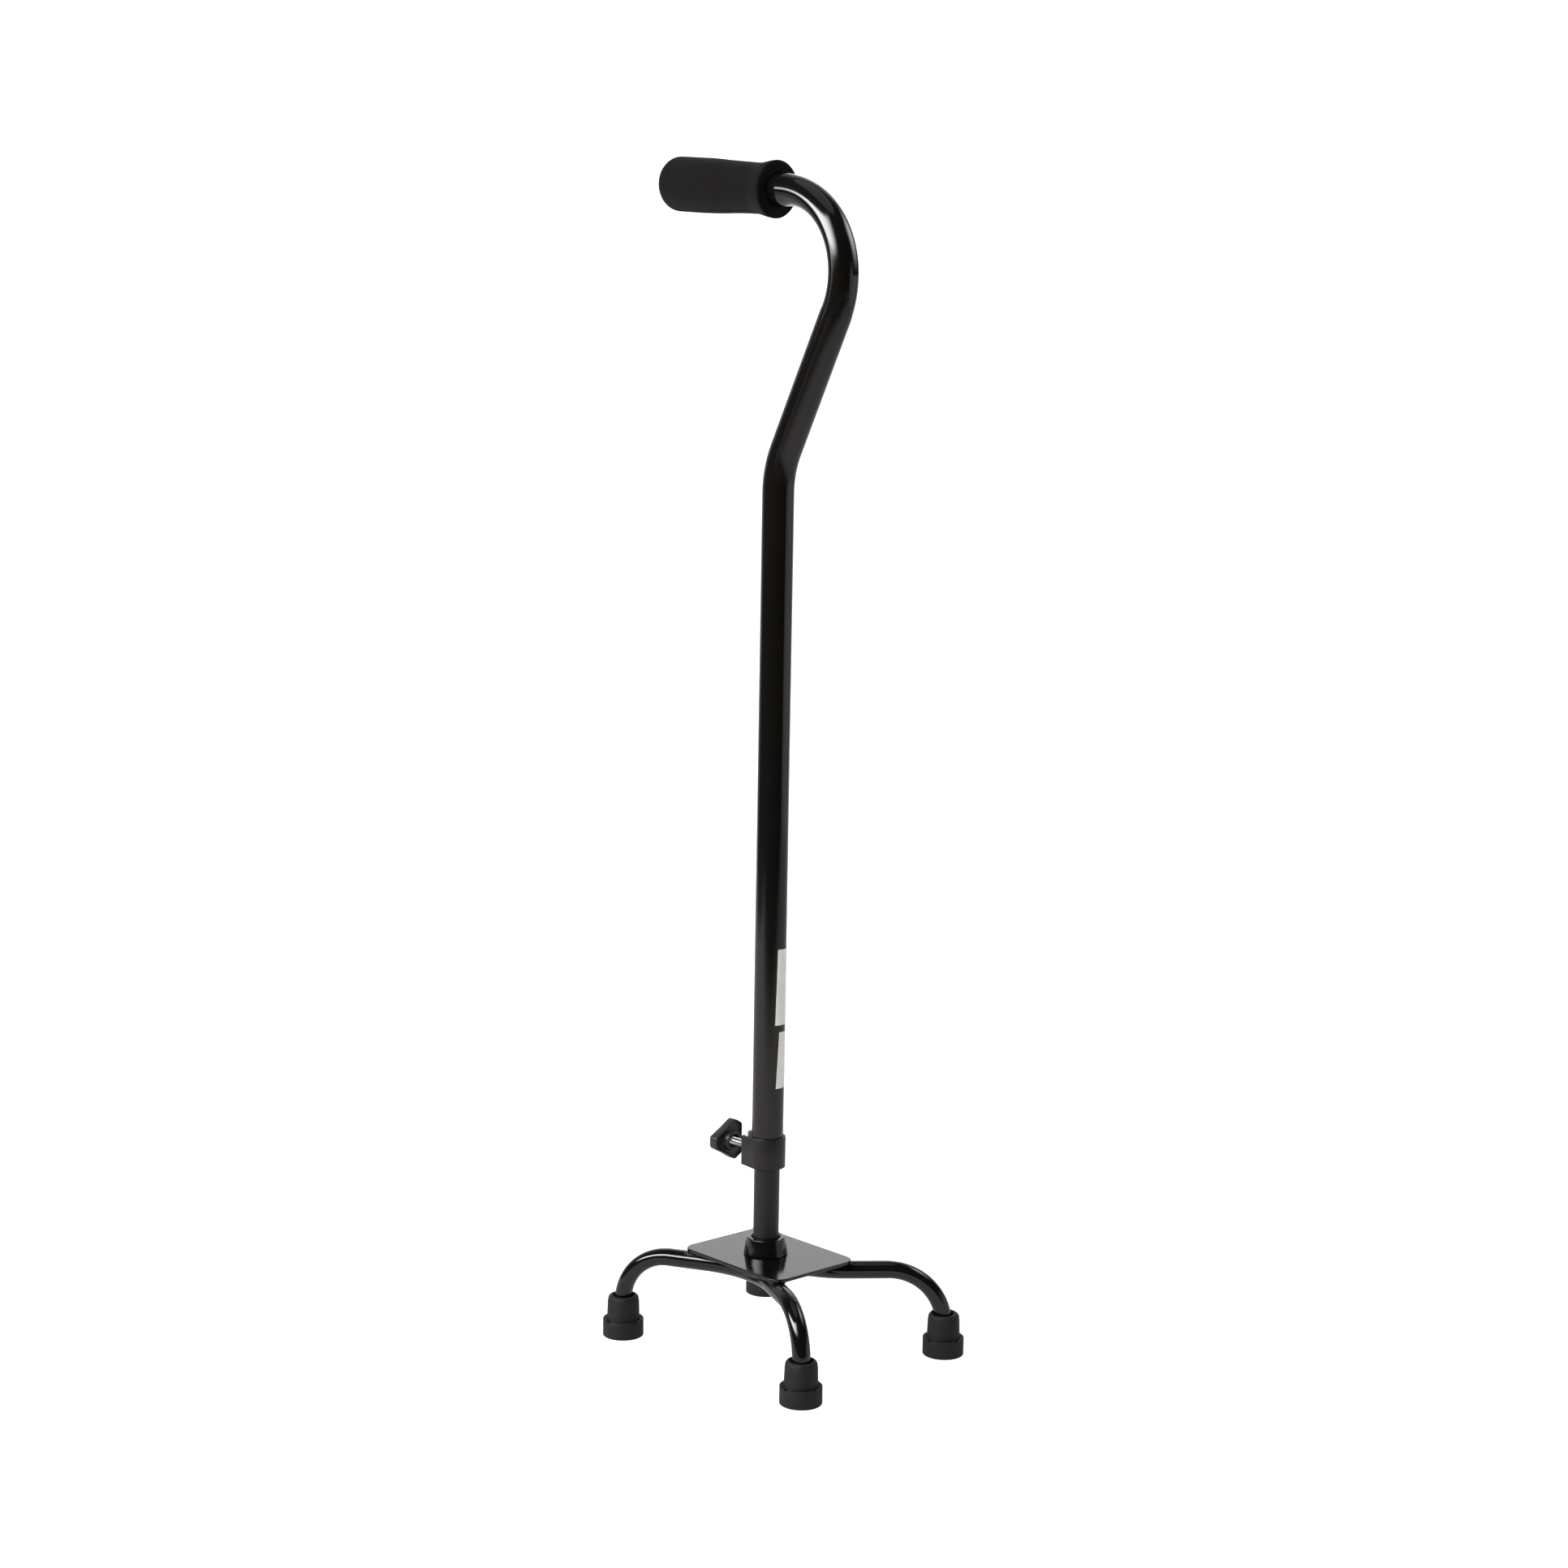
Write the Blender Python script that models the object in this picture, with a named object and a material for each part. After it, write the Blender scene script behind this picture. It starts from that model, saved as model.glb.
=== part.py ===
"""Quad walking cane with a gooseneck handle and a four-footed base, built piece by piece.

Metres, +Z up, floor at z = 0. +X is forward, the way the gooseneck bulges, and the feet stand
wider of the shaft on the +Y side. The origin is on the floor under the middle of the whole
cane's box. The cane stands at one of its seven set heights, two above the lowest.
"""

import math

import bmesh
import bpy
from mathutils import Matrix, Vector

GAP = 0.0003  # left between neighbouring pieces
CUT_PAST = 0.002  # how far a cutter runs past the wall it cuts
SHARP = math.radians(35)

# Four feet, on a rectangle
FOOT_HALF_LENGTH = 0.0912
FOOT_HALF_WIDTH = 0.0719
SHAFT_Y = -0.0179

# Rubber tips
TIP_RADIUS = 0.0147
TIP_BAND_HEIGHT = 0.0127
TIP_HEIGHT = 0.0303
TIP_CONE_BOTTOM_RADIUS = 0.0121
TIP_CONE_TOP_RADIUS = 0.0110
TIP_FLOOR = 0.0060
TIP_WASHER_THICKNESS = 0.0012

# Leg tubes under the plate
LEG_RADIUS = 0.00635
LEG_WALL = 0.0012
LEG_FLATTENING = 0.06
RIGHT_ARM_ANGLE = math.radians(25.7)
RIGHT_APEX_RADIUS = 0.0800
RIGHT_DROP_RADIUS = 0.0355
LEFT_ARM_ANGLE = math.radians(49.4)
LEFT_APEX_RADIUS = 0.0600
LEFT_DROP_RADIUS = 0.0415

# Base plate and the hub round the shaft
PLATE_LENGTH = 0.1011
PLATE_WIDTH = 0.0764
PLATE_OFF_SHAFT = (0.0016, 0.0015)
PLATE_TURN = math.radians(-2.1)
PLATE_THICKNESS = 0.0025
PLATE_TOP = 0.0715
PLATE_CORNER_RADIUS = 0.0096
PLATE_EDGE_ROUND = 0.0004
HUB_TOP = 0.0840
HUB_BOTTOM_RADIUS = 0.01565
HUB_TOP_RADIUS = 0.0137

# Bolt that holds the lower tube down, M8
BOLT_SHANK_RADIUS = 0.0039
BOLT_HOLE_RADIUS = 0.0043
BOLT_HEAD_ACROSS_FLATS = 0.0130
BOLT_HEAD_HEIGHT = 0.0053
BOLT_END = 0.0920
FLAT_WASHER_RADIUS = 0.0080
FLAT_WASHER_THICKNESS = 0.0016
LOCK_WASHER_RADIUS = 0.0070
LOCK_WASHER_THICKNESS = 0.0020
LOCK_WASHER_SPLIT = 0.0012
SHAFT_PLUG_HEIGHT = 0.0240

# Lower tube, which stays with the base
LOWER_RADIUS = 0.0091
LOWER_WALL = 0.0012
LOWER_TOP = 0.3520
GLIDE_RADIUS = 0.0096
GLIDE_HEIGHT = 0.0040
GLIDE_STEM = 0.0120

# Upper tube, which slides over the lower one
UPPER_RADIUS = 0.0111
UPPER_WALL = 0.0012
UPPER_BOTTOM = 0.1395
NECK_START = 0.6100
NECK_LEAN = math.radians(26.6)
NECK_FORWARD_RADIUS = 0.0660
NECK_SLANT = 0.1005
NECK_RETURN_RADIUS = 0.0578
NECK_FLATTENING = 0.17
GRIP_RISE = math.radians(5.2)
HANDLE_STRAIGHT = 0.1040

# Height setting: a sprung button in one of seven holes
HOLE_PITCH = 0.0254
HOLES_ABOVE = 2
HOLES_BELOW = 4
BUTTON_Z = 0.3200
BUTTON_RADIUS = 0.0038
BUTTON_HOLE_RADIUS = 0.0041
BUTTON_OUTER_X = -0.0127
BUTTON_DOME = 0.0011
BUTTON_FOOT_X = -0.0061
BUTTON_FOOT_RADIUS = 0.0045
BUTTON_FOOT_THICKNESS = 0.0012
SPRING_STRIP = 0.0006
SPRING_HALF_WIDTH = 0.0032
SPRING_LENGTH = 0.0480

# Foam grip round the handle
GRIP_START = 0.0106  # along the handle, from the end of the bend
GRIP_LENGTH = 0.1070
GRIP_WAIST_RADIUS = 0.01740
GRIP_SWELL = 0.0017
GRIP_FLARE = 0.0023
GRIP_FLARE_LENGTH = 0.0180
GRIP_SWELL_LENGTH = 0.0600
GRIP_FRONT_ROUND = 0.0010
GRIP_END_ROUND = 0.0085
PLUG_FLANGE = 0.0016
PLUG_STEM = 0.0100

# Clamp collar at the foot of the upper tube
COLLAR_BOTTOM = 0.1353
COLLAR_TOP = 0.1575
COLLAR_RADIUS = 0.0129
COLLAR_WALL = 0.0015
COLLAR_EAR_END = 0.0162
COLLAR_EAR_WALL = 0.0015
COLLAR_EAR_TAPER = math.radians(8.9)
COLLAR_FLOOR = 0.0012
COLLAR_BORE = 0.0094

# Clamp screw, M6, its nut plate and its knob
SCREW_Z = 0.1464
SCREW_RADIUS = 0.00295
SCREW_BORE = 0.00315
SCREW_CLEARANCE_HOLE = 0.0034
PAD_OUTER_X = -0.0107
PAD_THICKNESS = 0.0013
PAD_RADIUS = 0.0028
NUT_PLATE_X = -0.0116
NUT_PLATE_THICKNESS = 0.0031
NUT_PLATE_HALF_WIDTH = 0.0080
NUT_PLATE_TOP = 0.1597
KNOB_BOSS_X = -0.0336
KNOB_BOSS_RADIUS = 0.0068
KNOB_BOSS_LENGTH = 0.0032
KNOB_THICKNESS = 0.0078
KNOB_LOBES = 3
KNOB_LOBE_END = 0.0150
KNOB_SIDE = 0.0110
KNOB_SIDE_HOLLOW = 0.0004
KNOB_CORNER_SHARPNESS = 24
KNOB_EDGE_ROUND = 0.0012
KNOB_SCREW_DEPTH = 0.0085

# How finely round things are cut
TUBE_SIDES = 24
LEG_SIDES = 16
SMALL_SIDES = 20
BEND_STEP = math.radians(9)


def clear_scene():
    for thing in list(bpy.data.objects):
        bpy.data.objects.remove(thing, do_unlink=True)


def material(name, colour, roughness, metallic=0.0):
    """A Principled material in one linear colour."""
    made = bpy.data.materials.new(name)
    made.use_nodes = True
    shader = made.node_tree.nodes["Principled BSDF"]
    shader.inputs["Base Color"].default_value = (*colour, 1.0)
    shader.inputs["Roughness"].default_value = roughness
    shader.inputs["Metallic"].default_value = metallic
    return made


def empty(name, location, parent=None):
    """A frame that pieces hang from."""
    made = bpy.data.objects.new(name, None)
    made.location = location
    made.parent = parent
    bpy.context.collection.objects.link(made)
    return made


def piece(name, bm, finish, parent, location=(0, 0, 0)):
    """One object from a bmesh, smooth but for its real edges."""
    bmesh.ops.recalc_face_normals(bm, faces=bm.faces)
    mesh = bpy.data.meshes.new(name)
    bm.to_mesh(mesh)
    bm.free()
    mesh.shade_smooth()
    mesh.set_sharp_from_angle(angle=SHARP)
    made = bpy.data.objects.new(name, mesh)
    bpy.context.collection.objects.link(made)
    made.parent = parent
    made.location = location
    if finish is not None:
        mesh.materials.append(finish)
    return made


def cutter(name, bm, parent, location=(0, 0, 0)):
    """A closed shape that is only used to cut others."""
    made = piece(name, bm, None, parent, location)
    made.hide_render = True
    made.display_type = "WIRE"
    return made


def combine(target, other, operation="DIFFERENCE"):
    """Cuts the other shape out of the target, or joins it on."""
    step = target.modifiers.new(other.name, "BOOLEAN")
    step.operation = operation
    step.solver = "EXACT"
    step.object = other


def soften(target, width, segments=2, angle=math.radians(40)):
    """Rounds the edges sharper than the angle."""
    step = target.modifiers.new("edges", "BEVEL")
    step.width = width
    step.segments = segments
    step.limit_method = "ANGLE"
    step.angle_limit = angle
    step.use_clamp_overlap = True


def smoothstep(value):
    held = min(max(value, 0.0), 1.0)
    return held * held * (3 - 2 * held)


def polar(radius, angle):
    return Vector((radius * math.cos(angle), radius * math.sin(angle)))


def arc(centre, radius, start, end, steps):
    """Points on an arc, ends included; the centre is (x, y)."""
    span = end - start
    return [Vector(centre) + polar(radius, start + span * step / steps) for step in range(steps + 1)]


def turned(outline, sides, closed=False):
    """A lathed shape round local Z from (radius, height) points.

    An open outline starts and ends on the axis; a closed one goes round a ring's section.
    """
    bm = bmesh.new()
    rings = []
    for radius, height in outline:
        if radius < 1e-7:
            rings.append([bm.verts.new((0, 0, height))])
            continue
        angles = [2 * math.pi * side / sides for side in range(sides)]
        rings.append([bm.verts.new((*polar(radius, angle), height)) for angle in angles])
    pairs = list(zip(rings, rings[1:]))
    if closed:
        pairs.append((rings[-1], rings[0]))
    for lower, upper in pairs:
        for side in range(sides):
            after = (side + 1) % sides
            corners = [lower[side % len(lower)], lower[after % len(lower)]]
            corners += [upper[after % len(upper)], upper[side % len(upper)]]
            bm.faces.new(list(dict.fromkeys(corners)))
    return bm


def ring(inner, outer, bottom, top, sides=TUBE_SIDES):
    """A plain ring or sleeve."""
    return turned([(inner, bottom), (outer, bottom), (outer, top), (inner, top)], sides, closed=True)


def disc(radius, bottom, top, sides=SMALL_SIDES):
    """A plain round bar or disc."""
    return turned([(0, bottom), (radius, bottom), (radius, top), (0, top)], sides)


def prism(outline, bottom, top):
    """A flat outline of (x, y) points drawn up into a solid."""
    bm = bmesh.new()
    lower = [bm.verts.new((point[0], point[1], bottom)) for point in outline]
    face = bm.faces.new(lower)
    raised = bmesh.ops.extrude_face_region(bm, geom=[face])["geom"]
    moved = [item for item in raised if isinstance(item, bmesh.types.BMVert)]
    bmesh.ops.translate(bm, vec=(0, 0, top - bottom), verts=moved)
    return bm


def box(low, high):
    """A plain block between two corners."""
    outline = [(low[0], low[1]), (high[0], low[1]), (high[0], high[1]), (low[0], high[1])]
    return prism(outline, low[2], high[2])


def rounded_rectangle(length, width, radius, steps=5):
    """Outline of a rectangle with round corners, centred."""
    inset_x = length / 2 - radius
    inset_y = width / 2 - radius
    corners = [(1, 1), (-1, 1), (-1, -1), (1, -1)]
    points = []
    for quarter, (sign_x, sign_y) in enumerate(corners):
        start = quarter * math.pi / 2
        points += arc((sign_x * inset_x, sign_y * inset_y), radius, start, start + math.pi / 2, steps)
    return points


class TubePath:
    """The centreline of a bent tube, laid out as a tube bender works: straights and arcs in turn."""

    def __init__(self, point, heading, side):
        self.point = Vector(point)
        self.heading = Vector(heading).normalized()
        self.side = Vector(side).normalized()
        self.stations = []
        self.mark(self.side, 0.0)

    def mark(self, squeeze_along, squeeze):
        frame = (self.point.copy(), self.heading.copy(), self.side.copy())
        self.stations.append((*frame, squeeze_along, squeeze))

    def straight(self, length):
        self.point = self.point + self.heading * length
        self.mark(self.side, 0.0)

    def bend(self, axis, radius, angle, squeeze=0.0):
        """Turns about the axis by the right-hand rule; the tube flattens a little in the bend's plane."""
        axis = Vector(axis).normalized()
        steps = max(3, round(angle / BEND_STEP))
        centre = self.point + axis.cross(self.heading) * radius
        turn = Matrix.Rotation(angle / steps, 3, axis)
        for step in range(1, steps + 1):
            self.point = centre + turn @ (self.point - centre)
            self.heading = turn @ self.heading
            self.side = turn @ self.side
            inward = axis.cross(self.heading)
            self.mark(inward, squeeze * math.sqrt(math.sin(math.pi * step / steps)))


def swept_ring(bm, station, radius, sides):
    """One ring of vertices round the centreline, squeezed in the plane of its bend."""
    point, heading, side, squeeze_along, squeeze = station
    across = heading.cross(side)
    made = []
    for step in range(sides):
        angle = 2 * math.pi * step / sides
        offset = (side * math.cos(angle) + across * math.sin(angle)) * radius
        offset -= squeeze_along * offset.dot(squeeze_along) * squeeze
        made.append(bm.verts.new(point + offset))
    return made


def swept(stations, radius, sides, wall=None):
    """A bar along the stations, or a tube open at both ends if a wall is given."""
    bm = bmesh.new()
    skins = [[swept_ring(bm, station, radius, sides) for station in stations]]
    if wall is not None:
        skins.append([swept_ring(bm, station, radius - wall, sides) for station in stations])
    for rings in skins:
        for near, far in zip(rings, rings[1:]):
            for step in range(sides):
                after = (step + 1) % sides
                bm.faces.new((near[step], near[after], far[after], far[step]))
    for end in (0, -1):
        if wall is None:
            bm.faces.new(skins[0][end])
            continue
        outer, inner = skins[0][end], skins[1][end]
        for step in range(sides):
            after = (step + 1) % sides
            bm.faces.new((outer[step], outer[after], inner[after], inner[step]))
    return bm


def merged(shapes):
    """Several separate bmeshes in one, for a cutter with many teeth."""
    whole = bmesh.new()
    for shape in shapes:
        mesh = bpy.data.meshes.new("tooth")
        bmesh.ops.recalc_face_normals(shape, faces=shape.faces)
        shape.to_mesh(mesh)
        shape.free()
        whole.from_mesh(mesh)
        bpy.data.meshes.remove(mesh)
    return whole


def along_minus_x(bm, height):
    """Lays a shape made along Z down along -X, at a height."""
    lay = Matrix.Translation((0, 0, height)) @ Matrix.Rotation(-math.pi / 2, 4, "Y")
    bmesh.ops.transform(bm, matrix=lay, verts=bm.verts)
    return bm


# The base: tips, legs, plate, hub and the bolt that holds the shaft


def leg_path(side):
    """Path of one leg tube from its rear foot to its front foot, round the shaft's axis.

    side is -1 for the right-hand pair of feet and +1 for the left-hand pair.
    """
    right = (RIGHT_ARM_ANGLE, RIGHT_APEX_RADIUS, RIGHT_DROP_RADIUS)
    left = (LEFT_ARM_ANGLE, LEFT_APEX_RADIUS, LEFT_DROP_RADIUS)
    arm, apex_radius, drop_radius = right if side < 0 else left
    foot_y = side * FOOT_HALF_WIDTH - SHAFT_Y
    start_z = TIP_FLOOR + TIP_WASHER_THICKNESS + 2 * GAP
    top_z = PLATE_TOP - PLATE_THICKNESS - GAP - LEG_RADIUS
    rise = top_z - drop_radius - start_z
    inward = Vector((math.cos(arm), -side * math.sin(arm), 0))
    outward = Vector((math.cos(arm), side * math.sin(arm), 0))
    reach = FOOT_HALF_LENGTH / math.cos(arm)
    level = reach - drop_radius - apex_radius * math.tan(arm)
    up = Vector((0, 0, 1))
    path = TubePath((-FOOT_HALF_LENGTH, foot_y, start_z), up, inward)
    path.straight(rise)
    path.bend(up.cross(inward), drop_radius, math.pi / 2, LEG_FLATTENING)
    path.straight(level)
    path.bend((0, 0, side), apex_radius, 2 * arm, LEG_FLATTENING)
    path.straight(level)
    path.bend(up.cross(outward), drop_radius, math.pi / 2, LEG_FLATTENING)
    path.straight(rise)
    return path


def make_leg(name, side, finish, shaft):
    return piece(name, swept(leg_path(side).stations, LEG_RADIUS, LEG_SIDES, LEG_WALL), finish, shaft)


def tip_outline():
    """Half section of a rubber tip: a round-edged band, a ledge and a cone with a soft top."""
    edge = 0.0016
    ledge = 0.0007
    top_round = 0.0030
    points = [(0, 0), (TIP_RADIUS - edge, 0)]
    points += [tuple(point) for point in arc((TIP_RADIUS - edge, edge), edge, -math.pi / 4, 0, 1)]
    ledge_centre = (TIP_RADIUS - ledge, TIP_BAND_HEIGHT - ledge)
    points += [tuple(point) for point in arc(ledge_centre, ledge, 0, math.pi / 2, 2)]
    points += [(TIP_CONE_BOTTOM_RADIUS, TIP_BAND_HEIGHT)]
    top_centre = (TIP_CONE_TOP_RADIUS - top_round, TIP_HEIGHT - top_round)
    points += [tuple(point) for point in arc(top_centre, top_round, 0, math.pi / 2, 3)]
    points += [(0, TIP_HEIGHT)]
    return points


def make_tip(name, end, side, finish, shaft, leg_side_path):
    """A rubber tip, hollowed to take its leg; end is -1 at the rear and +1 at the front."""
    foot_y = side * FOOT_HALF_WIDTH - SHAFT_Y
    place = (end * FOOT_HALF_LENGTH, foot_y, 0)
    tip = piece(name, turned(tip_outline(), TUBE_SIDES), finish, shaft, place)
    stations = leg_side_path.stations
    if end > 0:
        stations = stations[::-1]
    floor = list(stations[0])
    floor[0] = floor[0] - Vector((0, 0, TIP_WASHER_THICKNESS + 2 * GAP))
    low = [station for station in stations if station[0].z < TIP_HEIGHT + 0.012]
    hollow = swept([tuple(floor)] + low[1:], LEG_RADIUS + GAP, LEG_SIDES)
    combine(tip, cutter(name + "_hollow", hollow, shaft))
    return tip


def make_tip_washer(name, end, side, finish, shaft):
    foot_y = side * FOOT_HALF_WIDTH - SHAFT_Y
    place = (end * FOOT_HALF_LENGTH, foot_y, TIP_FLOOR + GAP)
    return piece(name, disc(LEG_RADIUS - GAP, 0, TIP_WASHER_THICKNESS, LEG_SIDES), finish, shaft, place)


def make_plate(finish, shaft):
    """Flat plate that the leg tubes are welded under, set a little askew on the shaft."""
    outline = rounded_rectangle(PLATE_LENGTH, PLATE_WIDTH, PLATE_CORNER_RADIUS)
    turn = Matrix.Rotation(PLATE_TURN, 2)
    outline = [turn @ Vector(point) + Vector(PLATE_OFF_SHAFT) for point in outline]
    plate = piece("base_plate", prism(outline, PLATE_TOP - PLATE_THICKNESS, PLATE_TOP), finish, shaft)
    bottom = PLATE_TOP - PLATE_THICKNESS - CUT_PAST
    hole = cutter("bolt_hole", disc(BOLT_HOLE_RADIUS, bottom, PLATE_TOP + CUT_PAST), shaft)
    soften(plate, PLATE_EDGE_ROUND)
    combine(plate, hole)
    return plate


def make_hub(finish, shaft):
    """Tapered cup round the foot of the lower tube, open at the rim."""
    bottom = PLATE_TOP + GAP
    bore = LOWER_RADIUS + 0.0004
    flare = [(bore + 0.0012, HUB_TOP - 0.0002), (bore + 0.0004, HUB_TOP - 0.0016), (bore, HUB_TOP - 0.0030)]
    rim_round = 0.0009
    rim = arc((HUB_TOP_RADIUS - rim_round, HUB_TOP - rim_round), rim_round, 0, math.pi / 2, 3)
    outline = [(bore, bottom), (HUB_BOTTOM_RADIUS, bottom), (HUB_BOTTOM_RADIUS, bottom + 0.0015)]
    outline += [tuple(point) for point in rim]
    outline += flare
    return piece("base_hub", turned(outline, TUBE_SIDES, closed=True), finish, shaft)


def make_base_bolt(finish, shaft):
    """Hexagon bolt that comes up through the washers and the plate."""
    top_of_head = PLATE_TOP - PLATE_THICKNESS - FLAT_WASHER_THICKNESS - LOCK_WASHER_THICKNESS - 3 * GAP
    corner = BOLT_HEAD_ACROSS_FLATS / 2 / math.cos(math.pi / 6)
    hexagon = [polar(corner, math.pi / 3 * side) for side in range(6)]
    bolt = piece("base_bolt", prism(hexagon, top_of_head - BOLT_HEAD_HEIGHT, top_of_head), finish, shaft)
    shank = disc(BOLT_SHANK_RADIUS, top_of_head - 0.001, BOLT_END)
    combine(bolt, cutter("bolt_shank", shank, shaft), "UNION")
    return bolt


def make_washers(finish, shaft):
    """A flat washer against the plate and a split lock washer under it."""
    flat_top = PLATE_TOP - PLATE_THICKNESS - GAP
    flat_bottom = flat_top - FLAT_WASHER_THICKNESS
    lock_top = flat_bottom - GAP
    lock_bottom = lock_top - LOCK_WASHER_THICKNESS
    flat = ring(BOLT_HOLE_RADIUS, FLAT_WASHER_RADIUS, flat_bottom, flat_top, SMALL_SIDES)
    piece("flat_washer", flat, finish, shaft)
    lock = ring(BOLT_HOLE_RADIUS, LOCK_WASHER_RADIUS, lock_bottom, lock_top, SMALL_SIDES)
    lock_washer = piece("lock_washer", lock, finish, shaft)
    half = LOCK_WASHER_SPLIT / 2
    split = box((0, -half, lock_bottom - CUT_PAST), (LOCK_WASHER_RADIUS * 2, half, lock_top + CUT_PAST))
    combine(lock_washer, cutter("lock_washer_split", split, shaft))


# The lower tube and what it holds


def make_lower_tube(finish, shaft):
    """Straight tube that stays with the base, with one hole for the button."""
    bottom = PLATE_TOP + GAP
    tube = ring(LOWER_RADIUS - LOWER_WALL, LOWER_RADIUS, bottom, LOWER_TOP)
    lower = piece("lower_tube", tube, finish, shaft)
    hole = along_minus_x(disc(BUTTON_HOLE_RADIUS, LOWER_RADIUS / 2, LOWER_RADIUS * 2), BUTTON_Z)
    combine(lower, cutter("lower_button_hole", hole, shaft))
    return lower


def make_shaft_plug(finish, shaft):
    """Threaded plug in the foot of the lower tube, which the base bolt draws down."""
    bottom = PLATE_TOP + GAP
    plug = ring(BOLT_HOLE_RADIUS, LOWER_RADIUS - LOWER_WALL - GAP, bottom, bottom + SHAFT_PLUG_HEIGHT)
    return piece("shaft_plug", plug, finish, shaft)


def make_glide(finish, shaft):
    """Plastic guide in the top of the lower tube, which runs in the upper one."""
    stem = LOWER_RADIUS - LOWER_WALL - GAP
    vent = stem / 2
    flange = LOWER_TOP + GAP
    outline = [(vent, LOWER_TOP - GLIDE_STEM), (stem, LOWER_TOP - GLIDE_STEM), (stem, flange)]
    outline += [(GLIDE_RADIUS, flange), (GLIDE_RADIUS, flange + GLIDE_HEIGHT - 0.0008)]
    outline += [(GLIDE_RADIUS - 0.0008, flange + GLIDE_HEIGHT), (vent, flange + GLIDE_HEIGHT)]
    return piece("tube_glide", turned(outline, TUBE_SIDES, closed=True), finish, shaft)


def make_button(finish, shaft):
    """Domed button with a foot that keeps it in the lower tube; its origin is on its own axis."""
    outer = -BUTTON_OUTER_X
    foot = -BUTTON_FOOT_X
    back = foot - BUTTON_FOOT_THICKNESS
    dome_inset = BUTTON_DOME * 1.2
    outline = [(0, back), (BUTTON_FOOT_RADIUS, back), (BUTTON_FOOT_RADIUS, foot), (BUTTON_RADIUS, foot)]
    outline += [(BUTTON_RADIUS, outer - BUTTON_DOME)]
    outline += [(BUTTON_RADIUS - dome_inset / 3, outer - BUTTON_DOME / 3)]
    outline += [(BUTTON_RADIUS - dome_inset, outer), (0, outer)]
    button = along_minus_x(turned(outline, SMALL_SIDES), 0)
    return piece("snap_button", button, finish, shaft, (0, 0, BUTTON_Z))


def make_button_spring(finish, shaft):
    """V-shaped leaf spring: one arm behind the button, the other against the tube's far wall."""
    front_x = BUTTON_FOOT_X + BUTTON_FOOT_THICKNESS + GAP
    back_x = LOWER_RADIUS - LOWER_WALL - 0.0010
    bend_radius = 0.0022
    bottom = BUTTON_Z - SPRING_LENGTH
    foot = BUTTON_Z - BUTTON_FOOT_RADIUS
    top = BUTTON_Z + BUTTON_FOOT_RADIUS
    outer = [Vector((back_x, top)), Vector((back_x, BUTTON_Z))]
    outer += arc((0, bottom), bend_radius, 0, -math.pi, 8)
    outer += [Vector((front_x, foot)), Vector((front_x, top))]
    inner = [Vector((front_x + SPRING_STRIP, top)), Vector((front_x + SPRING_STRIP, foot))]
    inner += arc((0, bottom), bend_radius - SPRING_STRIP, -math.pi, 0, 8)
    inner += [Vector((back_x - SPRING_STRIP, BUTTON_Z)), Vector((back_x - SPRING_STRIP, top))]
    strip = prism(outer + inner, -SPRING_HALF_WIDTH, SPRING_HALF_WIDTH)
    stand = Matrix.Rotation(math.pi / 2, 4, "X")
    bmesh.ops.transform(strip, matrix=stand, verts=strip.verts)
    return piece("button_spring", strip, finish, shaft)


# The upper tube, the handle and the grip


def upper_path():
    """The upper tube's centreline from its foot to the end of the handle, round the shaft's axis."""
    path = TubePath((0, 0, UPPER_BOTTOM), (0, 0, 1), (1, 0, 0))
    path.straight(NECK_START - UPPER_BOTTOM)
    path.bend((0, 1, 0), NECK_FORWARD_RADIUS, NECK_LEAN)
    path.straight(NECK_SLANT)
    path.bend((0, -1, 0), NECK_RETURN_RADIUS, NECK_LEAN + math.pi / 2 - GRIP_RISE, NECK_FLATTENING)
    return path


def make_upper_tube(finish, upper):
    """Gooseneck tube with the row of height holes and the screw's hole in its rear side."""
    path = upper_path()
    path.straight(HANDLE_STRAIGHT)
    tube = piece("upper_tube", swept(path.stations, UPPER_RADIUS, TUBE_SIDES, UPPER_WALL), finish, upper)
    near, far = UPPER_RADIUS / 2, UPPER_RADIUS * 1.5
    steps = range(-HOLES_BELOW, HOLES_ABOVE + 1)
    heights = [BUTTON_Z + HOLE_PITCH * step for step in steps]
    holes = [along_minus_x(disc(BUTTON_HOLE_RADIUS, near, far), height) for height in heights]
    holes.append(along_minus_x(disc(SCREW_CLEARANCE_HOLE, near, far), SCREW_Z))
    combine(tube, cutter("upper_tube_holes", merged(holes), upper))
    return tube


def handle_turn():
    """Turns local +Z onto the handle's direction, rearwards and slightly up, with +X downwards."""
    return Matrix.Rotation(-(math.pi / 2 - GRIP_RISE), 3, "Y")


def grip_radius(distance):
    """Radius of the grip: a flare at the front, a waist, and a body that swells to the rear."""
    flare = GRIP_FLARE * (1 - smoothstep(distance / GRIP_FLARE_LENGTH))
    swell = GRIP_SWELL * smoothstep((distance - GRIP_FLARE_LENGTH) / GRIP_SWELL_LENGTH)
    return GRIP_WAIST_RADIUS + flare + swell


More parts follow.
